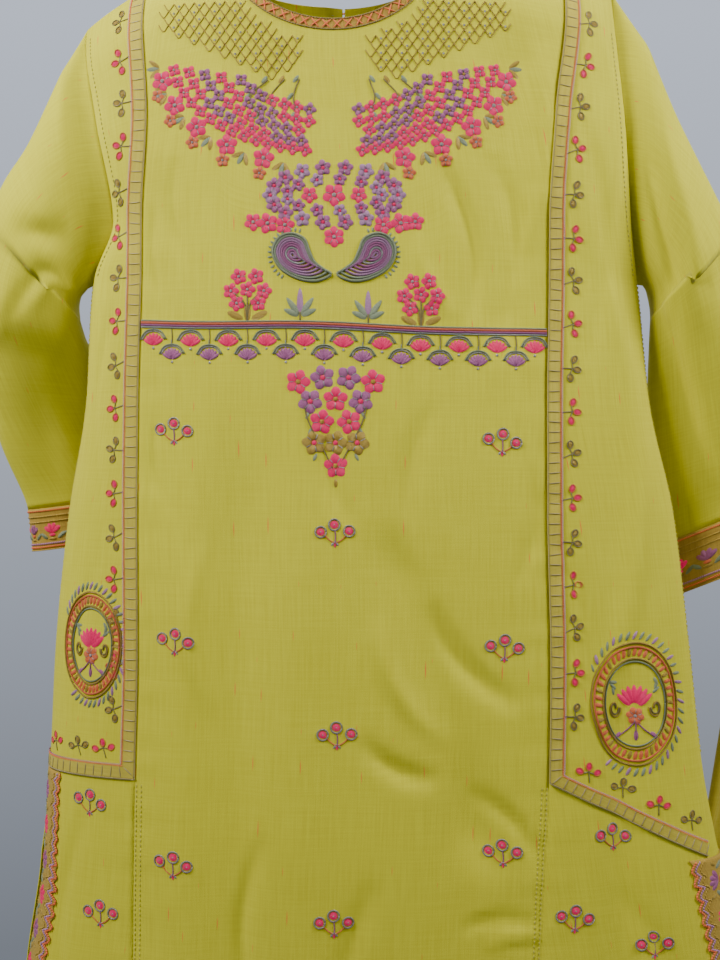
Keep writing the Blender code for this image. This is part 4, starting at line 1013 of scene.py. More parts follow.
def make_stitch_nodes():
    """Lays one stitch after another along a path; the path's points carry the cloth's outward direction."""
    tree = bpy.data.node_groups.new("stitches_on_path", "GeometryNodeTree")
    for label, kind, value in (("Geometry", "NodeSocketGeometry", None), ("Spacing", "NodeSocketFloat", 0.004),
                               ("Length", "NodeSocketFloat", 0.003), ("Thickness", "NodeSocketFloat", 0.0008),
                               ("Turn", "NodeSocketFloat", 0.0), ("Wander", "NodeSocketFloat", 0.1),
                               ("Seed", "NodeSocketInt", 1), ("Thread", "NodeSocketMaterial", None)):
        socket = tree.interface.new_socket(label, in_out="INPUT", socket_type=kind)
        if value is not None:
            socket.default_value = value
    tree.interface.new_socket("Geometry", in_out="OUTPUT", socket_type="NodeSocketGeometry")
    given, result = tree.nodes.new("NodeGroupInput"), tree.nodes.new("NodeGroupOutput")
    line = add_node(tree, "GeometryNodeMeshToCurve", {"Mesh": given.outputs["Geometry"]})
    outward = add_node(tree, "GeometryNodeInputNamedAttribute", {"Name": "outward"}, data_type="FLOAT_VECTOR")
    spaced = add_node(tree, "GeometryNodeResampleCurve",
                      {"Curve": line.outputs[0], "Length": given.outputs["Spacing"]}, mode="LENGTH")
    tangent = tree.nodes.new("GeometryNodeInputTangent")
    along = add_node(tree, "FunctionNodeAlignRotationToVector", {"Vector": tangent.outputs[0]}, axis="X")
    facing = add_node(tree, "FunctionNodeAlignRotationToVector",
                      {"Rotation": along.outputs[0], "Vector": outward.outputs["Attribute"]},
                      axis="Z", pivot_axis="X")
    body = add_node(tree, "GeometryNodeMeshUVSphere", {"Segments": 6, "Rings": 4, "Radius": 0.5})
    wander = add_node(tree, "FunctionNodeRandomValue", {"Seed": given.outputs["Seed"]}, data_type="FLOAT")
    wander.inputs[2].default_value, wander.inputs[3].default_value = -1.0, 1.0
    swing = math_node(tree, "MULTIPLY", wander.outputs[1], given.outputs["Wander"])
    spin = add_node(tree, "ShaderNodeCombineXYZ", {"Z": math_node(tree, "ADD", swing, given.outputs["Turn"])})
    gauge = given.outputs["Thickness"]
    stretch = add_node(tree, "ShaderNodeCombineXYZ", {"X": given.outputs["Length"], "Y": gauge, "Z": gauge})
    turned = add_node(tree, "FunctionNodeRotateRotation", {"Rotation": facing.outputs[0]},
                      rotation_space="LOCAL")
    euler = add_node(tree, "FunctionNodeEulerToRotation", {0: spin.outputs[0]})
    tree.links.new(euler.outputs[0], turned.inputs[1])
    laid = add_node(tree, "GeometryNodeInstanceOnPoints",
                    {"Points": spaced.outputs[0], "Instance": body.outputs[0], "Rotation": turned.outputs[0],
                     "Scale": stretch.outputs[0]})
    real = add_node(tree, "GeometryNodeRealizeInstances", {0: laid.outputs[0]})
    smooth_faces = add_node(tree, "GeometryNodeSetShadeSmooth", {0: real.outputs[0]})
    coloured = add_node(tree, "GeometryNodeSetMaterial",
                        {"Geometry": smooth_faces.outputs[0], "Material": given.outputs["Thread"]})
    tree.links.new(coloured.outputs[0], result.inputs[0])
    return tree


stitch_nodes = make_stitch_nodes()


def stitches(name, paths, colour, spacing, length, thickness, turn=0.0, wander=0.08):
    """Stitches along paths, each a pair of arrays: points and the cloth's outward directions."""
    mesh = bpy.data.meshes.new(name + "_path")
    points = np.concatenate([path[0] for path in paths])
    outward = np.concatenate([path[1] for path in paths])
    edges, start = [], 0
    for path in paths:
        edges += [(start + i, start + i + 1) for i in range(len(path[0]) - 1)]
        start += len(path[0])
    mesh.from_pydata([tuple(p) for p in points], edges, [])
    layer = mesh.attributes.new("outward", "FLOAT_VECTOR", "POINT")
    layer.data.foreach_set("vector", outward.ravel())
    guide = bpy.data.objects.new(name + "_guide", mesh)
    bpy.context.scene.collection.objects.link(guide)
    laying = guide.modifiers.new("stitches", "NODES")
    laying.node_group = stitch_nodes
    sockets = {item.name: item.identifier for item in stitch_nodes.interface.items_tree
               if item.in_out == "INPUT"}
    for label, value in (("Spacing", spacing), ("Length", length), ("Thickness", thickness), ("Turn", turn),
                         ("Wander", wander), ("Seed", len(name)), ("Thread", THREADS[colour])):
        laying[sockets[label]] = value
    made = bpy.data.meshes.new_from_object(guide.evaluated_get(bpy.context.evaluated_depsgraph_get()))
    bpy.data.objects.remove(guide)
    made.name = name
    piece = bpy.data.objects.new(name, made)
    bpy.context.scene.collection.objects.link(piece)
    hand_in(piece)


def surface_path(face, x, drops, lift):
    """Points a little off the cloth and the cloth's outward directions there."""
    near, far = body_surface(face, x, drops, lift), body_surface(face, x, drops, lift + 0.001)
    return near, unit(far - near)


RUNG_SPACING = 0.0071
# Each line along the ladder tapes: its name, its share of the way across, thread, slant and thickness
LADDER_LINES = (("seam_line", 0.04, "tan", 0.5, 0.0008), ("rope", 0.97, "coral", 0.7, 0.0007),
                ("rope_twist", 1.05, "lilac", -0.6, 0.0006))
for side, sign in (("left", -1), ("right", 1)):
    at_seam, beyond = ladder_edges(side, np.linspace(0, 1, 240), np.linspace(0, 1, 60))
    middle = (at_seam + beyond) / 2
    lift = TAPE_LIFT + 0.0004
    stitches("ladder_rungs_" + side, [surface_path("front", middle[:, 0], middle[:, 1], lift)], "tan",
             RUNG_SPACING, TAPE_WIDTH * 0.96, 0.00085, math.pi / 2, 0.12)
    for label, share, colour, turn, gauge in LADDER_LINES:
        line = at_seam * (1 - share) + beyond * share
        stitches("ladder_" + label + "_" + side, [surface_path("front", line[:, 0], line[:, 1], lift)], colour,
                 0.0017, 0.0025, gauge, turn * sign)

# The embroidery worked by motif: satin petals and discs, and cords couched along drawn lines. Each motif
# is drawn flat in metres across and down the cloth, then laid on the creased front.
PETAL_SIDES = 10
PETAL_SINK = 0.0002
CORD_SIDES = 4
CORD_STEP = 0.0013
SATIN_LIFT = CLOTH_THICKNESS / 2 + 0.0001


def on_round(angle, across, down=None, middle=(0.0, 0.0)):
    """A place on a circle, or on an oval with another reach down, round a middle."""
    down = across if down is None else down
    return (middle[0] + across * math.cos(angle), middle[1] + down * math.sin(angle))


class Needlework:
    """Petals and cords waiting to be laid on the cloth, by thread colour."""

    def __init__(self, name, slot="kurta_cloth", surface=None):
        self.name, self.slot, self.surface = name, slot, surface or on_cloth
        self.petals, self.cords = {}, {}

    def petal(self, anchor, at, angle, length, width, colour, height=0.0007, point=0.0):
        """A raised satin patch: at is its middle, point narrows its near end."""
        self.petals.setdefault(colour, []).append((anchor, at, angle, length, width, height, point))

    def cord(self, anchor, points, colour, radius=0.00045, closed=False):
        """A couched cord along a smoothed line."""
        self.cords.setdefault(colour, []).append((anchor, points, radius, closed))

    def flower(self, anchor, at, size, colour, heart="silver", petals=5, turn=0.0):
        """A flower of round petals with a short silver stitch in each gap and a raised heart."""
        for i in range(petals):
            angle = turn + 2 * math.pi * i / petals
            middle = on_round(angle, 0.29 * size, middle=at)
            self.petal(anchor, middle, angle, 0.44 * size, 0.42 * size, colour, 0.0010, -0.15)
            gap = angle + math.pi / petals
            near = on_round(gap, 0.25 * size, middle=at)
            self.petal(anchor, near, gap, 0.26 * size, 0.05 * size, "silver", 0.0012)
        self.petal(anchor, at, 0.0, 0.20 * size, 0.20 * size, heart, 0.0014)

    def lay(self, base=SATIN_LIFT):
        made = []
        for colour, patches in self.petals.items():
            made.append(lay_petals(self.name + "_" + colour + "_satin", patches, colour, base, self.surface))
        for colour, lines in self.cords.items():
            made.append(lay_cords(self.name + "_" + colour + "_cord", lines, colour, base, self.surface))
        for piece in made:
            hand_in(piece)


def on_cloth(anchor_x, anchor_drop, across, down, lift):
    """Places on the front from offsets across and down the cloth."""
    start = along_cloth(anchor_x, anchor_drop)
    drops = anchor_drop + down
    return body_surface("front", across_x(start + across, drops), drops, lift)


def uv_mesh(name, points, faces, uvs, colour):
    piece = mesh_piece(name, points, faces, THREADS[colour])
    layer = piece.data.uv_layers.new(name="cloth")
    corners = np.array([index for face in faces for index in face])
    layer.data.foreach_set("uv", np.asarray(uvs)[corners].ravel())
    return piece


def lay_petals(name, patches, colour, base, surface):
    turns = 2 * math.pi * np.arange(PETAL_SIDES) / PETAL_SIDES
    anchors, offsets, lifts, uvs, faces = [], [], [], [], []
    for anchor, at, angle, length, width, height, point in patches:
        start = len(lifts)
        for scale, rise in ((1.0, 0.0), (0.72, 0.75)):
            u = 0.5 * length * scale * np.cos(turns)
            v = 0.5 * width * scale * np.sin(turns) * (1 + point * np.cos(turns))
            offsets += list(zip(at[0] + u * math.cos(angle) - v * math.sin(angle),
                                at[1] + u * math.sin(angle) + v * math.cos(angle)))
            uvs += list(zip(u, v))
            lifts += [base - PETAL_SINK + height * rise] * PETAL_SIDES
        offsets.append(at)
        uvs.append((0.0, 0.0))
        lifts.append(base - PETAL_SINK + height)
        anchors += [anchor] * (2 * PETAL_SIDES + 1)
        for i in range(PETAL_SIDES):
            j = (i + 1) % PETAL_SIDES
            faces.append((start + i, start + PETAL_SIDES + i, start + PETAL_SIDES + j, start + j))
            faces.append((start + PETAL_SIDES + i, start + 2 * PETAL_SIDES, start + PETAL_SIDES + j))
    anchors, offsets = np.array(anchors), np.array(offsets)
    points = surface(anchors[:, 0], anchors[:, 1], offsets[:, 0], offsets[:, 1], np.array(lifts))
    return uv_mesh(name, points, faces, uvs, colour)


def smooth_line(points, closed):
    """Evenly spaced places on a curve through the given ones."""
    points = np.array(points, float)
    if closed:
        points = np.concatenate([points, points[:1]])
    if len(points) > 2:
        ends = (points[-2], points[1]) if closed else (2 * points[0] - points[1], 2 * points[-1] - points[-2])
        padded = np.concatenate([[ends[0]], points, [ends[1]]])
        pieces = []
        for i in range(1, len(padded) - 2):
            a, b, c, d = padded[i - 1:i + 3]
            t = np.linspace(0, 1, 7)[:-1, None]
            pieces.append(0.5 * (2 * b + (c - a) * t + (2 * a - 5 * b + 4 * c - d) * t ** 2
                                 + (3 * b - a - 3 * c + d) * t ** 3))
        points = np.concatenate(pieces + [points[-1:]])
    run = np.concatenate([[0], np.cumsum(np.linalg.norm(np.diff(points, axis=0), axis=1))])
    count = max(int(run[-1] / CORD_STEP), 2) + 1
    at = np.linspace(0, run[-1], count)
    return np.stack([np.interp(at, run, points[:, 0]), np.interp(at, run, points[:, 1])], axis=1)


def lay_cords(name, lines, colour, base, surface):
    all_points, faces, uvs = [], [], []
    total = 0
    turns = 2 * math.pi * np.arange(CORD_SIDES) / CORD_SIDES
    for anchor, drawn, radius, closed in lines:
        flat = smooth_line(drawn, closed)
        anchor_x, anchor_drop = np.full(len(flat), anchor[0]), np.full(len(flat), anchor[1])
        middle = surface(anchor_x, anchor_drop, flat[:, 0], flat[:, 1], base + radius * 0.5)
        outer = surface(anchor_x, anchor_drop, flat[:, 0], flat[:, 1], base + radius * 0.5 + 0.001)
        normal = unit(outer - middle)
        tangent = unit(np.gradient(middle, axis=0))
        aside = unit(np.cross(tangent, normal))
        run = np.concatenate([[0], np.cumsum(np.linalg.norm(np.diff(middle, axis=0), axis=1))])
        ring = middle[:, None] + radius * (np.cos(turns)[None, :, None] * aside[:, None]
                                           + np.sin(turns)[None, :, None] * normal[:, None])
        all_points.append(ring.reshape(-1, 3))
        for i in range(len(flat)):
            for j in range(CORD_SIDES):
                uvs.append((run[i], radius * 1.2 * turns[j] + 0.45 * run[i]))
        for i in range(len(flat) - 1):
            for j in range(CORD_SIDES):
                k = (j + 1) % CORD_SIDES
                faces.append((total + i * CORD_SIDES + j, total + i * CORD_SIDES + k,
                              total + (i + 1) * CORD_SIDES + k, total + (i + 1) * CORD_SIDES + j))
        faces.append(tuple(total + j for j in reversed(range(CORD_SIDES))))
        faces.append(tuple(total + (len(flat) - 1) * CORD_SIDES + j for j in range(CORD_SIDES)))
        total += len(flat) * CORD_SIDES
    return uv_mesh(name, np.concatenate(all_points), faces, uvs, colour)


# Scattered motifs over the panels: three pink satin discs, each ringed with a silver cord, on coral and
# mauve stems that end in a tuft of three stitches. Each is placed by X and drop.
SCATTERED = (
    (-0.1194, 0.3412), (0.1090, 0.3488), (-0.0069, 0.4116), (-0.1180, 0.4875), (0.1104, 0.4916),
    (-0.0055, 0.5510), (-0.1194, 0.6420), (0.1090, 0.6331), (-0.0076, 0.6800), (-0.1815, 0.6041),
    (-0.1725, 0.6807), (0.1870, 0.6248), (0.1594, 0.6793), (0.2167, 0.7007), (-0.1187, 0.7897),
    (0.1097, 0.7814), (-0.0062, 0.8228), (-0.0069, 0.9346), (-0.1194, 0.9194), (0.1104, 0.9153),
    (-0.1898, 0.7897), (-0.1966, 0.8932), (0.1759, 0.7862), (0.2311, 0.8173), (0.1898, 0.9001),
)
scattered = Needlework("scattered_motifs")
for number, anchor in enumerate(SCATTERED):
    lean = 0.10 * math.sin(2.3 * number)
    for x, down, size in ((-0.0098, -0.0010, 0.0068), (0.0, -0.0050, 0.0070), (0.0098, 0.0004, 0.0068)):
        at = (x - down * lean, down + x * lean)
        scattered.petal(anchor, at, 0.4, size * 0.88, size * 0.82, "pink", 0.0009)
        ring = [on_round(a, 0.56 * size, middle=at) for a in np.linspace(0, 5.6, 9)]
        scattered.cord(anchor, ring, "silver", 0.00055, closed=True)
        scattered.petal(anchor, at, 0.0, 0.0014, 0.0014, "silver", 0.0013)
    scattered.cord(anchor, [(-0.0078, 0.0012), (-0.0042, 0.0052), (0.0, 0.0078)], "coral", 0.00040)
    scattered.cord(anchor, [(0.0078, 0.0022), (0.0044, 0.0056), (0.0, 0.0078)], "coral", 0.00040)
    scattered.cord(anchor, [(0.0, -0.0010), (0.0004, 0.0035), (0.0, 0.0085)], "mauve", 0.00042)
    for lean in (-1.0, 0.0, 1.0):
        scattered.petal(anchor, (0.0013 * lean, 0.0088 - 0.0008 * abs(lean)), 1.57 - 0.7 * lean, 0.0042, 0.0016,
                        "pink" if lean == 0 else "silver")
scattered.lay()

# Sprigs beside the ladder tapes: three corded lobes filled with satin on branching tan stems. Pink lobes
# in coral outlines and gold ones in tan outlines come by turns.
SPRIG_PITCH = 0.0303
sprigs = Needlework("ladder_sprigs")


def sprig(anchor, outward, pink):
    """A sprig that grows from the tape along a direction across and down the cloth."""
    across, down = outward

    def turned(along, aside):
        return (along * across - aside * down, along * down + aside * across)
    fork = turned(0.0026, 0.0)
    for spread, reach in ((-1.22, 0.0094), (0.0, 0.0086), (1.22, 0.0094)):
        tip = turned(*on_round(spread, reach))
        heart = turned(*on_round(spread, reach - 0.0024))
        angle = math.atan2(tip[1], tip[0])
        loop = []
        for a in np.linspace(0, 5.5, 8):
            u, v = 0.0028 * math.cos(a), 0.0021 * math.sin(a)
            loop.append((heart[0] + u * math.cos(angle) - v * math.sin(angle),
                         heart[1] + u * math.sin(angle) + v * math.cos(angle)))
        sprigs.cord(anchor, loop, "coral" if pink else "tan", 0.00042, closed=True)
        sprigs.petal(anchor, heart, angle, 0.0050, 0.0034, "pink" if pink else "gold", 0.0006)
        sprigs.cord(anchor, [fork, turned(*on_round(spread, reach - 0.0054))], "tan", 0.00038)
    sprigs.cord(anchor, [turned(-0.0048, 0.0014), turned(-0.0012, 0.0006), fork], "tan", 0.00040)


for side, sign in (("left", -1), ("right", 1)):
    first = 0.052 if side == "left" else 0.055
    for number, drop in enumerate(np.arange(first, LADDER_CORNER_DROP - 0.022, SPRIG_PITCH)):
        x = float(body_value(side + "_seam", drop)) + sign * (TAPE_WIDTH + 0.0055)
        tilt = 0.25 * math.sin(1.7 * number)
        sprig((x, drop), (sign * math.cos(tilt), math.sin(tilt)), number % 2 == 1)
    corner = float(body_value(side + "_seam", LADDER_CORNER_DROP)) + sign * TAPE_WIDTH
    edge = float(body_value(side, LADDER_CORNER_DROP))
    count = 3 if side == "left" else 4
    for number in range(count):
        x = corner + (edge - corner) * (number + 0.7) / (count + 0.2)
        sprig((x, float(run_drop(x)) - 0.0085), (0.15 * sign, -0.98), number % 2 == 0)
sprigs.lay()

# The bust trim: four couched ropes across the centre panel, with two rows of satin fan buds below them,
# pink above mauve, each bud under a double arch of sage and silver cord.
TRIM_LEFT_DROP = 0.2667
TRIM_RIGHT_DROP = 0.2743
BUST_PITCH = 0.0266


def trim_drop(x):
    share = (x + 0.145) / 0.286
    return TRIM_LEFT_DROP + (TRIM_RIGHT_DROP - TRIM_LEFT_DROP) * share + 0.0008 * math.sin(11 * share)


bust_trim = Needlework("bust_trim")
ends = (float(body_value("left_seam", 0.27)) + 0.001, float(body_value("right_seam", 0.27)) - 0.001)
places = np.linspace(ends[0], ends[1], 60)
middle_drop = trim_drop(0.0)
middle_along = float(along_cloth(0.0, middle_drop)[0])
trim_line = [(float(along_cloth(x, middle_drop)[0]) - middle_along, trim_drop(x)) for x in places]
for offset, colour, radius in ((-0.0028, "sage", 0.0007), (-0.0014, "coral", 0.0009),
                               (0.0002, "mauve", 0.0008), (0.0016, "silver", 0.0006)):
    rope = [(across, drop + offset - middle_drop) for across, drop in trim_line]
    bust_trim.cord((0.0, middle_drop), rope, colour, radius)


FAN_ARCH = ((-0.86, 0.02), (-0.52, -0.46), (0.0, -0.60), (0.52, -0.46), (0.86, 0.02))


def fan_bud(anchor, colour, size):
    """A fan of satin stitches that opens upwards from its point, with its arch, stem and tip."""
    for spread in (-1.0, -0.66, -0.33, 0.0, 0.33, 0.66, 1.0):
        reach = size * (0.42 - 0.04 * abs(spread))
        middle = (reach * math.sin(spread), 0.40 * size - reach * math.cos(spread))
        bust_trim.petal(anchor, middle, spread - math.pi / 2, 0.80 * size, 0.24 * size, colour, 0.0010, 0.3)
    arch = [(x * size, y * size) for x, y in FAN_ARCH]
    bust_trim.cord(anchor, arch, "sage", 0.00055)
    inner = [(0.86 * x, 0.84 * y + 0.02 * size) for x, y in arch]
    bust_trim.cord(anchor, inner, "silver", 0.00045)
    bust_trim.cord(anchor, [(0.0, -0.9 * size), (0.0, -0.5 * size)], "sage", 0.0005)
    bust_trim.petal(anchor, (0.0, 0.56 * size), math.pi / 2, 0.20 * size, 0.18 * size, "silver", 0.0008)


for number in range(11):
    x = -0.1340 + BUST_PITCH * number
    if x < ends[1] - 0.004:
        fan_bud((x, trim_drop(x) + 0.0098), "pink", 0.0112)
for number in range(10):
    x = -0.1207 + BUST_PITCH * number
    fan_bud((x, trim_drop(x) + 0.0195), "mauve", 0.0106)
    stem = [(0.0, -0.0182), (0.0005, -0.0120), (0.0, -0.0060)]
    bust_trim.cord((x, trim_drop(x) + 0.0200), stem, "olive", 0.0004)
bust_trim.lay()

# The yoke: gold diamond lattices beside the neck, wings of small pink and mauve flowers below them edged
# with larger ones and leaves, an oval wreath with a row of flowers under it, a pair of paisleys, and
# small plants that stand on the bust trim. All is satin stitch and couched cord.
YOKE_CENTRE = -0.0075
yoke = Needlework("yoke")
LATTICE_PITCH = 0.0072
LATTICE_STITCH = ((-0.0036, 0.0), (-0.0019, 0.0028), (0.0, 0.0050), (0.0019, 0.0028), (0.0036, 0.0))
for row in range(12):
    drop = 0.0440 + 0.0050 * row
    for column in range(-20, 21):
        x = YOKE_CENTRE + LATTICE_PITCH * (column + 0.5 * (row % 2))
        aside = abs(x - YOKE_CENTRE)
        band_edge = neckline_drop(x, NECK_HALF_WIDTH + NECK_BAND_WIDTH, NECK_FRONT_DROP + NECK_BAND_WIDTH)
        clear = float(band_edge) + 0.006
        if clear < drop < 0.0960 - 0.46 * abs(aside - 0.042) and 0.022 < aside < 0.120:
            yoke.cord((x, drop), LATTICE_STITCH, "gold", 0.00036)
            if (row + column) % 2:
                yoke.petal((x, drop), (0.0, 0.0020), 0.0, 0.0018, 0.0018, "silver", 0.0008)

# Wing lanes: each a reach across and down, and the first turn; flowers follow one another along a lane
WING_LANES = ((0.112, 0.066, 0.10), (0.102, 0.060, 0.14), (0.092, 0.053, 0.20), (0.082, 0.046, 0.28),
              (0.071, 0.038, 0.40))
WING_STEP = 0.0088
for sign in (-1, 1):
    for lane, (across, down, first) in enumerate(WING_LANES):
        turns = np.linspace(first, 1.40, 200)
        run = np.cumsum(np.hypot(across * np.sin(turns), down * np.cos(turns))) * (turns[1] - turns[0])
        for step, length in enumerate(np.arange(0.002, run[-1], WING_STEP)):
            turn = float(np.interp(length, run, turns))
            x = YOKE_CENTRE + sign * across * math.cos(turn)
            drop = 0.0830 + down * math.sin(turn)
            colour = "pink" if (step // 3 + lane) % 2 or lane == 0 else "mauve"
            heart = "silver" if colour == "pink" else "gold"
            yoke.flower((x, drop), (0.0, 0.0), 0.0100, colour, heart, 4, turn + 0.4)
    for step in range(11):
        turn = 0.06 + 1.22 * step / 10
        x = YOKE_CENTRE + sign * 0.1215 * math.cos(turn)
        drop = 0.0850 + 0.0745 * math.sin(turn)
        if step % 2:
            yoke.flower((x, drop), (0.0, 0.0), 0.0155, "pink", "silver", 5, turn)
            yoke.flower((x + sign * 0.0030, drop + 0.0105), (0.0, 0.0), 0.0100, "coral", "silver", 5, turn)
        else:
            for spread in (-0.7, 0.0, 0.7):
                angle = turn * sign + spread if sign > 0 else math.pi - turn + spread
                colour = "gold" if spread else "sage"
                yoke.petal((x, drop), on_round(angle, 0.0050), angle, 0.0100, 0.0036, colour)
    for start, drift, colour in ((0.024, 0.004, "sage"), (0.034, 0.010, "gold"), (0.046, 0.012, "sage")):
        spray = [(sign * start, 0.0), (sign * (start + drift), 0.0120), (sign * (start + drift * 0.5), 0.0250)]
        yoke.cord((YOKE_CENTRE, 0.0990), spray, "olive", 0.0005)
        for at in spray:
            leaf = (at[0] + 0.0024 * sign, at[1])
            yoke.petal((YOKE_CENTRE, 0.0990), leaf, 0.9 * sign, 0.0068, 0.0028, colour)

for ring_x, ring_y, count, size in ((0.0440, 0.0190, 18, 0.0118), (0.0330, 0.0110, 13, 0.0100)):
    for step in range(count):
        turn = 2 * math.pi * step / count
        at = on_round(turn, ring_x, ring_y)
        yoke.flower((YOKE_CENTRE, 0.1790), at, size, "mauve" if step % 3 else "lilac", "pink", 5, turn)
for x, size in ((-0.0170, 0.0120), (0.0, 0.0165), (0.0170, 0.0120)):
    yoke.flower((YOKE_CENTRE, 0.1790), (x, 0.0), size, "pink", "silver", 5, 0.3)
for x, size in ((-0.0560, 0.0130), (-0.0460, 0.0150), (-0.0340, 0.0140),
                (0.0340, 0.0140), (0.0460, 0.0150), (0.0560, 0.0130)):
    yoke.flower((YOKE_CENTRE, 0.2030 - 0.10 * abs(x)), (x, 0.0), size, "pink", "silver", 5, 40 * x)

# A pair of paisleys lies base to base, each drawn as nested drops: round and raised outside, with a tail
# that sweeps down to the middle
DROP_OUTLINE = ((0.0010, 0.0125), (0.0110, 0.0168), (0.0240, 0.0150), (0.0360, 0.0078), (0.0412, -0.0035),
                (0.0372, -0.0128), (0.0285, -0.0160), (0.0195, -0.0122), (0.0162, -0.0045), (0.0125, 0.0035),
                (0.0060, 0.0088))
heart_x, heart_y = 0.0275, -0.0010
DROP_BANDS = ((1.0, "sage", 0.0010), (0.885, "sage", 0.0009), (0.775, "lilac", 0.0009),
              (0.665, "lilac", 0.0009), (0.555, "mauve", 0.0009), (0.445, "mauve", 0.0009),
              (0.335, "silver", 0.0008), (0.22, "mauve", 0.0009), (0.11, "lilac", 0.0009))
for sign in (-1, 1):
    anchor = (YOKE_CENTRE + sign * 0.0012, 0.2215)
    for scale, colour, radius in DROP_BANDS:
        drawn = [(sign * (heart_x + (x - heart_x) * scale), heart_y + (y - heart_y) * scale)
                 for x, y in DROP_OUTLINE]
        yoke.cord(anchor, drawn, colour, radius, closed=True)
    for step in range(16):
        turn = -1.9 + 3.0 * step / 15
        x, y = on_round(turn, 0.0158, 0.0172, (heart_x, heart_y - 0.0005))
        angle = math.atan2(y + 0.001, sign * (x - heart_x))
        yoke.petal(anchor, (sign * x, y), angle, 0.0036, 0.0018, "sage", 0.0006)
yoke.flower((YOKE_CENTRE, 0.2080), (0.0, 0.0), 0.0150, "pink", "silver", 6, 0.5)

PLANT_FLOWERS = ((-0.0115, -0.0205), (0.0115, -0.0205), (0.0, -0.0215), (-0.0075, -0.0120), (0.0075, -0.0120),
                 (-0.0060, -0.0305), (0.0060, -0.0305))
for place in (-0.0600, 0.0600):
    x = YOKE_CENTRE + place
    anchor = (x, trim_drop(x) - 0.0035)
    for lean in (-1, 0, 1):
        yoke.cord(anchor, [(0.0, 0.0), (0.0020 * lean, -0.0117), (0.0085 * lean, -0.0187)], "olive", 0.0005)
        leaf = (0.0085 * lean, -0.0035 - 0.0020 * (1 - abs(lean)))
        yoke.petal(anchor, leaf, -1.57 + 1.15 * lean, 0.0130, 0.0052, "gold")
    for at in PLANT_FLOWERS:
        yoke.flower(anchor, at, 0.0118, "pink", "silver", 5, 110 * at[0])
for place in (-0.0235, 0.0235):
    x = YOKE_CENTRE + place
    anchor = (x, trim_drop(x) - 0.0035)
    for angle, reach in ((-2.75, 0.0120), (-0.39, 0.0120), (-2.2, 0.0155), (-0.94, 0.0155), (-1.57, 0.0190)):
        middle = on_round(angle, 0.55 * reach, middle=(0.0, -0.0030))
        yoke.petal(anchor, middle, angle, reach, 0.0046, "sage" if reach < 0.018 else "lilac", 0.0008, -0.3)
    yoke.cord(anchor, [(0.0, 0.0), (0.0, -0.0060)], "olive", 0.0005)
yoke.lay()

# The pendant under the bust trim: a wedge of larger satin flowers between two corded stems with leaves.
pendant = Needlework("pendant")
pendant_anchor = (YOKE_CENTRE + 0.001, 0.3080)
PENDANT_FLOWERS = (
    (-0.0260, 0.0000, "pink"), (-0.0090, -0.0030, "mauve"), (0.0090, -0.0030, "mauve"),
    (0.0260, 0.0000, "pink"), (-0.0175, 0.0135, "mauve"), (0.0, 0.0120, "pink"), (0.0175, 0.0135, "mauve"),
    (-0.0095, 0.0275, "pink"), (0.0095, 0.0275, "pink"), (0.0, 0.0420, "gold"), (-0.0150, 0.0420, "gold"),
    (0.0150, 0.0420, "gold"), (0.0, 0.0580, "pink"),
)
for number, (x, drop, colour) in enumerate(PENDANT_FLOWERS):
    heart = "gold" if colour == "pink" else "pink"
    pendant.flower(pendant_anchor, (x, drop), 0.0176, colour, heart, 5, 0.7 * number)
for x in (-0.0230, 0.0230):
    stem = [(x, 0.0100), (x * 0.8, 0.0280), (x * 0.35, 0.0480), (0.0, 0.0640)]
    pendant.cord(pendant_anchor, stem, "olive", 0.0005)
    for share in (0.0230, 0.0340, 0.0520):
        side_x = x * (1.0 - 0.35 * share / 0.05)
        pendant.petal(pendant_anchor, (side_x, share), 1.1 if x > 0 else 2.0, 0.0062, 0.0024, "sage", 0.0006)
pendant.petal(pendant_anchor, (0.0, 0.0700), math.pi / 2, 0.0066, 0.0030, "gold", 0.0008)
pendant.lay()

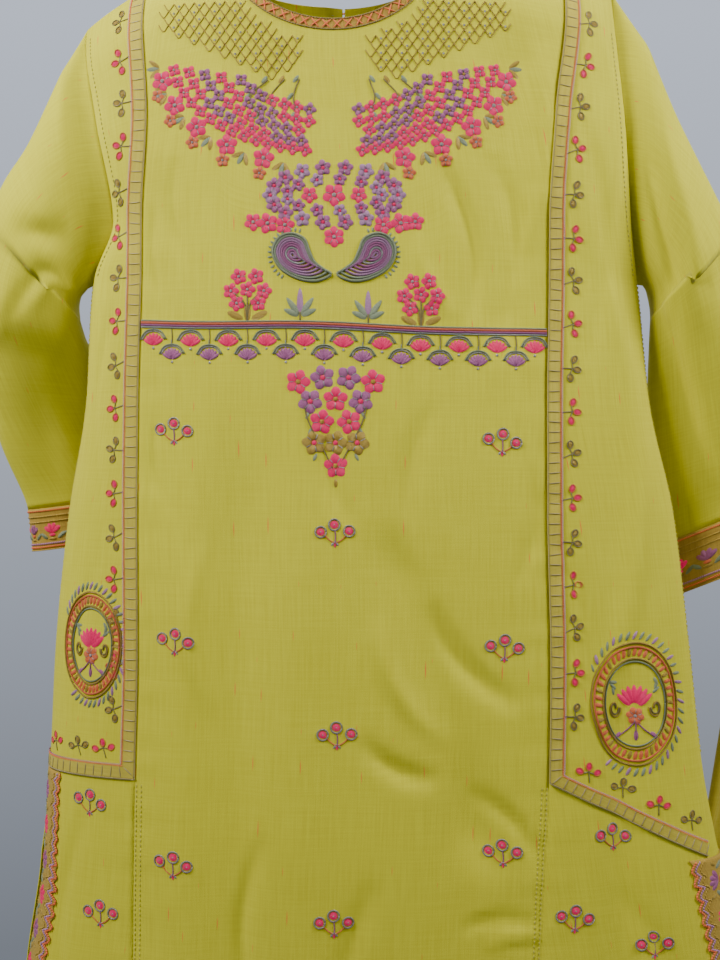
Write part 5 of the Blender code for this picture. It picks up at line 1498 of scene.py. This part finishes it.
# An oval medallion on each side panel: a ring of coral and gold satin between couched cords, with a sage
# and lilac fringe, and a plain bloom, scrolls and leaves inside.
medallions = Needlework("side_medallions")
for anchor, reach_x, reach_y in (((-0.1808, 0.4930), 0.0250, 0.0375), ((0.2035, 0.5330), 0.0330, 0.0430)):
    for scale, colour, radius in ((1.0, "gold", 0.0007), (0.93, "coral", 0.0007), (0.74, "gold", 0.0007),
                                  (0.69, "sage", 0.0006)):
        ring = [on_round(a, scale * reach_x, scale * reach_y) for a in np.linspace(0, 5.98, 20)]
        medallions.cord(anchor, ring, colour, radius, closed=True)
    for step in range(44):
        a = 2 * math.pi * step / 44
        at = on_round(a, 0.845 * reach_x, 0.845 * reach_y)
        colour = "coral" if step % 4 else "gold"
        medallions.petal(anchor, at, math.atan2(at[1], at[0]) + 0.25, 0.0068, 0.0030, colour, 0.0008)
        if -2.7 < math.remainder(a, 2 * math.pi) < 2.2:
            out = on_round(a, 1.12 * reach_x, 1.12 * reach_y)
            colour = "sage" if step % 3 else "lilac"
            medallions.petal(anchor, out, math.atan2(out[1], out[0]) + 0.5, 0.0074, 0.0024, colour, 0.0008)
    for spread in np.linspace(-1.0, 1.0, 7):
        angle = -1.57 + spread * 0.9
        at = on_round(angle, 0.30 * reach_x, 0.24 * reach_y, (0.0, 0.08 * reach_y))
        medallions.petal(anchor, at, angle, 0.0135, 0.0048, "pink", 0.0012, -0.3)
    for lean in (-1, 1):
        for curl, colour in ((1.0, "gold"), (0.72, "olive")):
            scroll = [(lean * reach_x * (0.46 - 0.16 * curl * math.cos(a) * (1 - a / 9)),
                       reach_y * (0.06 + 0.18 * curl * math.sin(a) * (1 - a / 9)))
                      for a in np.linspace(0, 6.6, 12)]
            medallions.cord(anchor, scroll, colour, 0.0006)
        for leaf in (-1.0, -0.3, 0.4):
            at = (lean * 0.48 * reach_x, reach_y * (-0.26 + 0.10 * leaf))
            medallions.petal(anchor, at, (1.57 + lean * 0.5) + leaf, 0.0068, 0.0026, "sage", 0.0008)
    medallions.flower(anchor, (0.0, 0.20 * reach_y), 0.0130, "coral", "silver", 6, 0.2)
    for lean in (-1, 0, 1):
        stem = [(0.0, 0.28 * reach_y), (0.18 * lean * reach_x, 0.42 * reach_y),
                (0.42 * lean * reach_x, 0.55 * reach_y)]
        medallions.cord(anchor, stem, "mauve", 0.0005)
        medallions.petal(anchor, (0.40 * lean * reach_x, 0.52 * reach_y), 1.57 - 0.8 * lean, 0.0075, 0.0032,
                         "mauve", 0.0008)
medallions.lay()

# Stitching on the neck band: a row of coral cross stitches between two olive edge lines.
def band_path(level, lift=0.0009):
    half_width = NECK_HALF_WIDTH + NECK_BAND_WIDTH * level
    x = NECK_CENTRE + half_width * np.sin(np.linspace(-1, 1, 160) * math.pi / 2)
    drops = neckline_drop(x, half_width, NECK_FRONT_DROP + NECK_BAND_WIDTH * level)
    return surface_path("front", x, drops, lift)


for turn in (0.82, -0.82):
    label = "rising" if turn > 0 else "falling"
    stitches("band_crosses_" + label, [band_path(0.5, 0.0009 + (0.0002 if turn > 0 else 0.0))], "coral", 0.0074,
             0.0098, 0.0010, turn, 0.06)
for level, label in ((0.93, "outer"), (0.06, "inner")):
    stitches("band_line_" + label, [band_path(level)], "olive", 0.0019, 0.0021, 0.0009, 0.25)

# Stitching on the cuffs: gold rows round the border, pink and mauve buds over a leaf line, and a twisted
# edge of lilac and coral.
def cuff_layout(side):
    """The cuff's points and outward directions, rows from top to edge, starting at the front."""
    grid = sleeve_grids[side][SLEEVE_STEPS:]
    out = unit(np.cross(np.roll(grid, -1, axis=1) - np.roll(grid, 1, axis=1), np.gradient(grid, axis=0)))
    away = grid - grid.mean(axis=1, keepdims=True)
    return grid, out * np.sign(np.sum(out * away, axis=2, keepdims=True))


def on_cuff(side):
    """A surface for needlework: metres round the cuff from its front, and down from its top."""
    grid, out = cuff_layout(side)
    rows, columns = grid.shape[:2]
    round_length = np.linalg.norm(np.roll(grid[4], -1, axis=0) - grid[4], axis=1).sum()
    height = np.linalg.norm(grid[-1, 30] - grid[0, 30])

    def surface(anchor_x, anchor_drop, across, down, lift):
        place = (columns / 4 + (anchor_x + across) / round_length * columns) % columns
        level = np.clip((anchor_drop + down) / height, 0, 1) * (rows - 1.001)
        column, row = place.astype(int), level.astype(int)
        u, v = (place - column)[:, None], (level - row)[:, None]

        def mixed(table):
            top = table[row, column] * (1 - u) + table[row, (column + 1) % columns] * u
            low = table[row + 1, column] * (1 - u) + table[row + 1, (column + 1) % columns] * u
            return top * (1 - v) + low * v
        return mixed(grid) + unit(mixed(out)) * np.broadcast_to(lift, place.shape)[:, None]
    return surface, round_length, height


CUFF_LIFT = 0.0008
# Each row: its level down the cuff, thread, thickness, spacing and slant
CUFF_ROWS = (
    (0.05, "coral", 0.0010, 0.0017, 0.6), (0.17, "gold", 0.0011, 0.0021, 0.2),
    (0.29, "gold", 0.0011, 0.0021, -0.2), (0.84, "lilac", 0.0012, 0.0017, 0.7),
    (0.92, "coral", 0.0012, 0.0017, -0.7), (0.99, "gold", 0.0012, 0.0021, 0.0),
)
for side in ("left", "right"):
    surface, round_length, height = on_cuff(side)
    for level, colour, gauge, spacing, turn in CUFF_ROWS:
        around = np.linspace(0, round_length, 240)
        drops = np.full(240, level * height)
        near = surface(around, drops, 0.0, 0.0, CUFF_LIFT)
        far = surface(around, drops, 0.0, 0.0, CUFF_LIFT + 0.001)
        stitches("cuff_row_" + side + "_" + str(int(level * 100)), [(near, unit(far - near))], colour, spacing,
                 spacing * 1.35, gauge, turn)
    buds = Needlework("cuff_buds_" + side, "stitched_border", surface)
    count = int(round_length / 0.0180)
    for number in range(count):
        anchor = (round_length * number / count, 0.52 * height)
        colour = "mauve" if number % 2 else "pink"
        for spread in (-0.9, -0.3, 0.3, 0.9):
            at = (0.0034 * math.sin(spread), -0.0034 * math.cos(spread) + 0.0014)
            buds.petal(anchor, at, -math.pi / 2 + spread, 0.0086, 0.0036, colour, 0.0010, 0.2)
        buds.petal(anchor, (0.0, 0.0034), 0.0, 0.0050, 0.0026, "coral" if number % 2 else "pink", 0.0009)
        for lean in (-1, 1):
            buds.petal(anchor, (0.0068 * lean, 0.0042), 0.7 * -lean, 0.0078, 0.0030, "sage", 0.0008)
        buds.petal(anchor, (0.0, 0.0066), 0.0, 0.0068, 0.0020, "gold", 0.0008)
    buds.lay(CUFF_LIFT)

# Stitching on the slit borders: gold chain rows, a bud every few centimetres between leaves, and a
# lilac and coral twist along the inner edge.
border_work = Needlework("slit_buds", "stitched_border")
# Each row: its share of the border's width, thread, thickness, spacing and slant
SLIT_ROWS = (
    (0.04, "gold", 0.0012, 0.0022, 0.3), (0.16, "gold", 0.0011, 0.0022, -0.3),
    (0.80, "gold", 0.0011, 0.0022, 0.3), (0.90, "lilac", 0.0013, 0.0018, 0.7),
    (0.98, "coral", 0.0013, 0.0018, -0.7),
)
for side, sign in (("left", -1), ("right", 1)):
    top = slit_top(side) + 0.003
    drops = np.linspace(top, HEM_DROP - 0.002, 170)
    edge = edge_along(side, drops)
    for share, colour, gauge, spacing, turn in SLIT_ROWS:
        x = across_x(sign * (edge - SLIT_BORDER_WIDTH * share), drops)
        path = surface_path("front", x, drops, TAPE_LIFT + 0.0004)
        stitches("slit_row_" + side + "_" + str(int(share * 100)), [path], colour, spacing, spacing * 1.3,
                 gauge, turn * sign)
    for number, drop in enumerate(np.arange(top + 0.014, HEM_DROP - 0.012, 0.0252)):
        x = float(across_x(sign * (edge_along(side, drop) - SLIT_BORDER_WIDTH * 0.48), drop)[0])
        colour = "pink" if number % 2 else "mauve"
        anchor = (x, drop)
        for spread in (-0.9, -0.3, 0.3, 0.9):
            at = (sign * -0.0040 * math.cos(spread) + sign * 0.0014, 0.0040 * math.sin(spread))
            angle = math.atan2(at[1], at[0] - sign * 0.0014)
            border_work.petal(anchor, at, angle, 0.0098, 0.0042, colour, 0.0010, 0.2)
        border_work.petal(anchor, (sign * 0.0046, 0.0), 0.0, 0.0036, 0.0056, "coral", 0.0009)
        for lean in (-1, 1):
            border_work.petal(anchor, (sign * 0.0030, 0.0098 * lean), 0.6 * lean * sign, 0.0086, 0.0034,
                              "sage", 0.0008)
            border_work.petal(anchor, (sign * -0.0034, 0.0112 * lean), -0.5 * lean * sign, 0.0064, 0.0026,
                              "gold", 0.0008)
border_work.lay(TAPE_LIFT + 0.0003)

# Plain seams: lines of lemon topstitching beside the princess seams, round the armholes, down the side
# seams, above the hems and behind the neck.
SEAM_LIFT = CLOTH_THICKNESS / 2 + 0.0003
seam_paths = []
for side, sign in (("left", -1), ("right", 1)):
    for inward in (0.0012, 0.0048):
        drops = np.linspace(LADDER_CORNER_DROP + 0.014, HEM_DROP - 0.003, 150)
        beside = body_value(side + "_seam", drops) - sign * inward
        seam_paths.append(surface_path("front", beside, drops, SEAM_LIFT))
    drops = np.linspace(0.060, UNDERARM_DROP - 0.004, 90)
    for face in ("front", "back"):
        seam_paths.append(surface_path(face, body_value(side, drops) - sign * 0.0050, drops, SEAM_LIFT))
    drops = np.linspace(UNDERARM_DROP + 0.004, LADDER_CORNER_DROP - 0.004, 120)
    x = across_x(sign * (edge_along(side, drops) - 0.003), drops)
    seam_paths.append(surface_path("front", x, drops, SEAM_LIFT))
for start, end in (("left", "left_seam"), ("left_seam", "right_seam"), ("right_seam", "right")):
    x = np.linspace(float(body_value(start, 0.96)) * 0.985, float(body_value(end, 0.96)) * 0.985, 90)
    seam_paths.append(surface_path("front", x, np.full(90, HEM_DROP - 0.020), SEAM_LIFT))
x = np.linspace(float(body_value("left", 0.96)) * 0.985, float(body_value("right", 0.96)) * 0.985, 200)
seam_paths.append(surface_path("back", x, np.full(200, HEM_DROP - 0.020), SEAM_LIFT))
x = NECK_CENTRE + NECK_HALF_WIDTH * 0.97 * np.sin(np.linspace(-1, 1, 90) * math.pi / 2)
seam_paths.append(surface_path("back", x, neckline_drop(x, NECK_HALF_WIDTH, NECK_BACK_DROP) + 0.005, SEAM_LIFT))
stitches("plain_topstitching", seam_paths, "lemon", 0.0034, 0.0025, 0.0008, 0.0, 0.03)
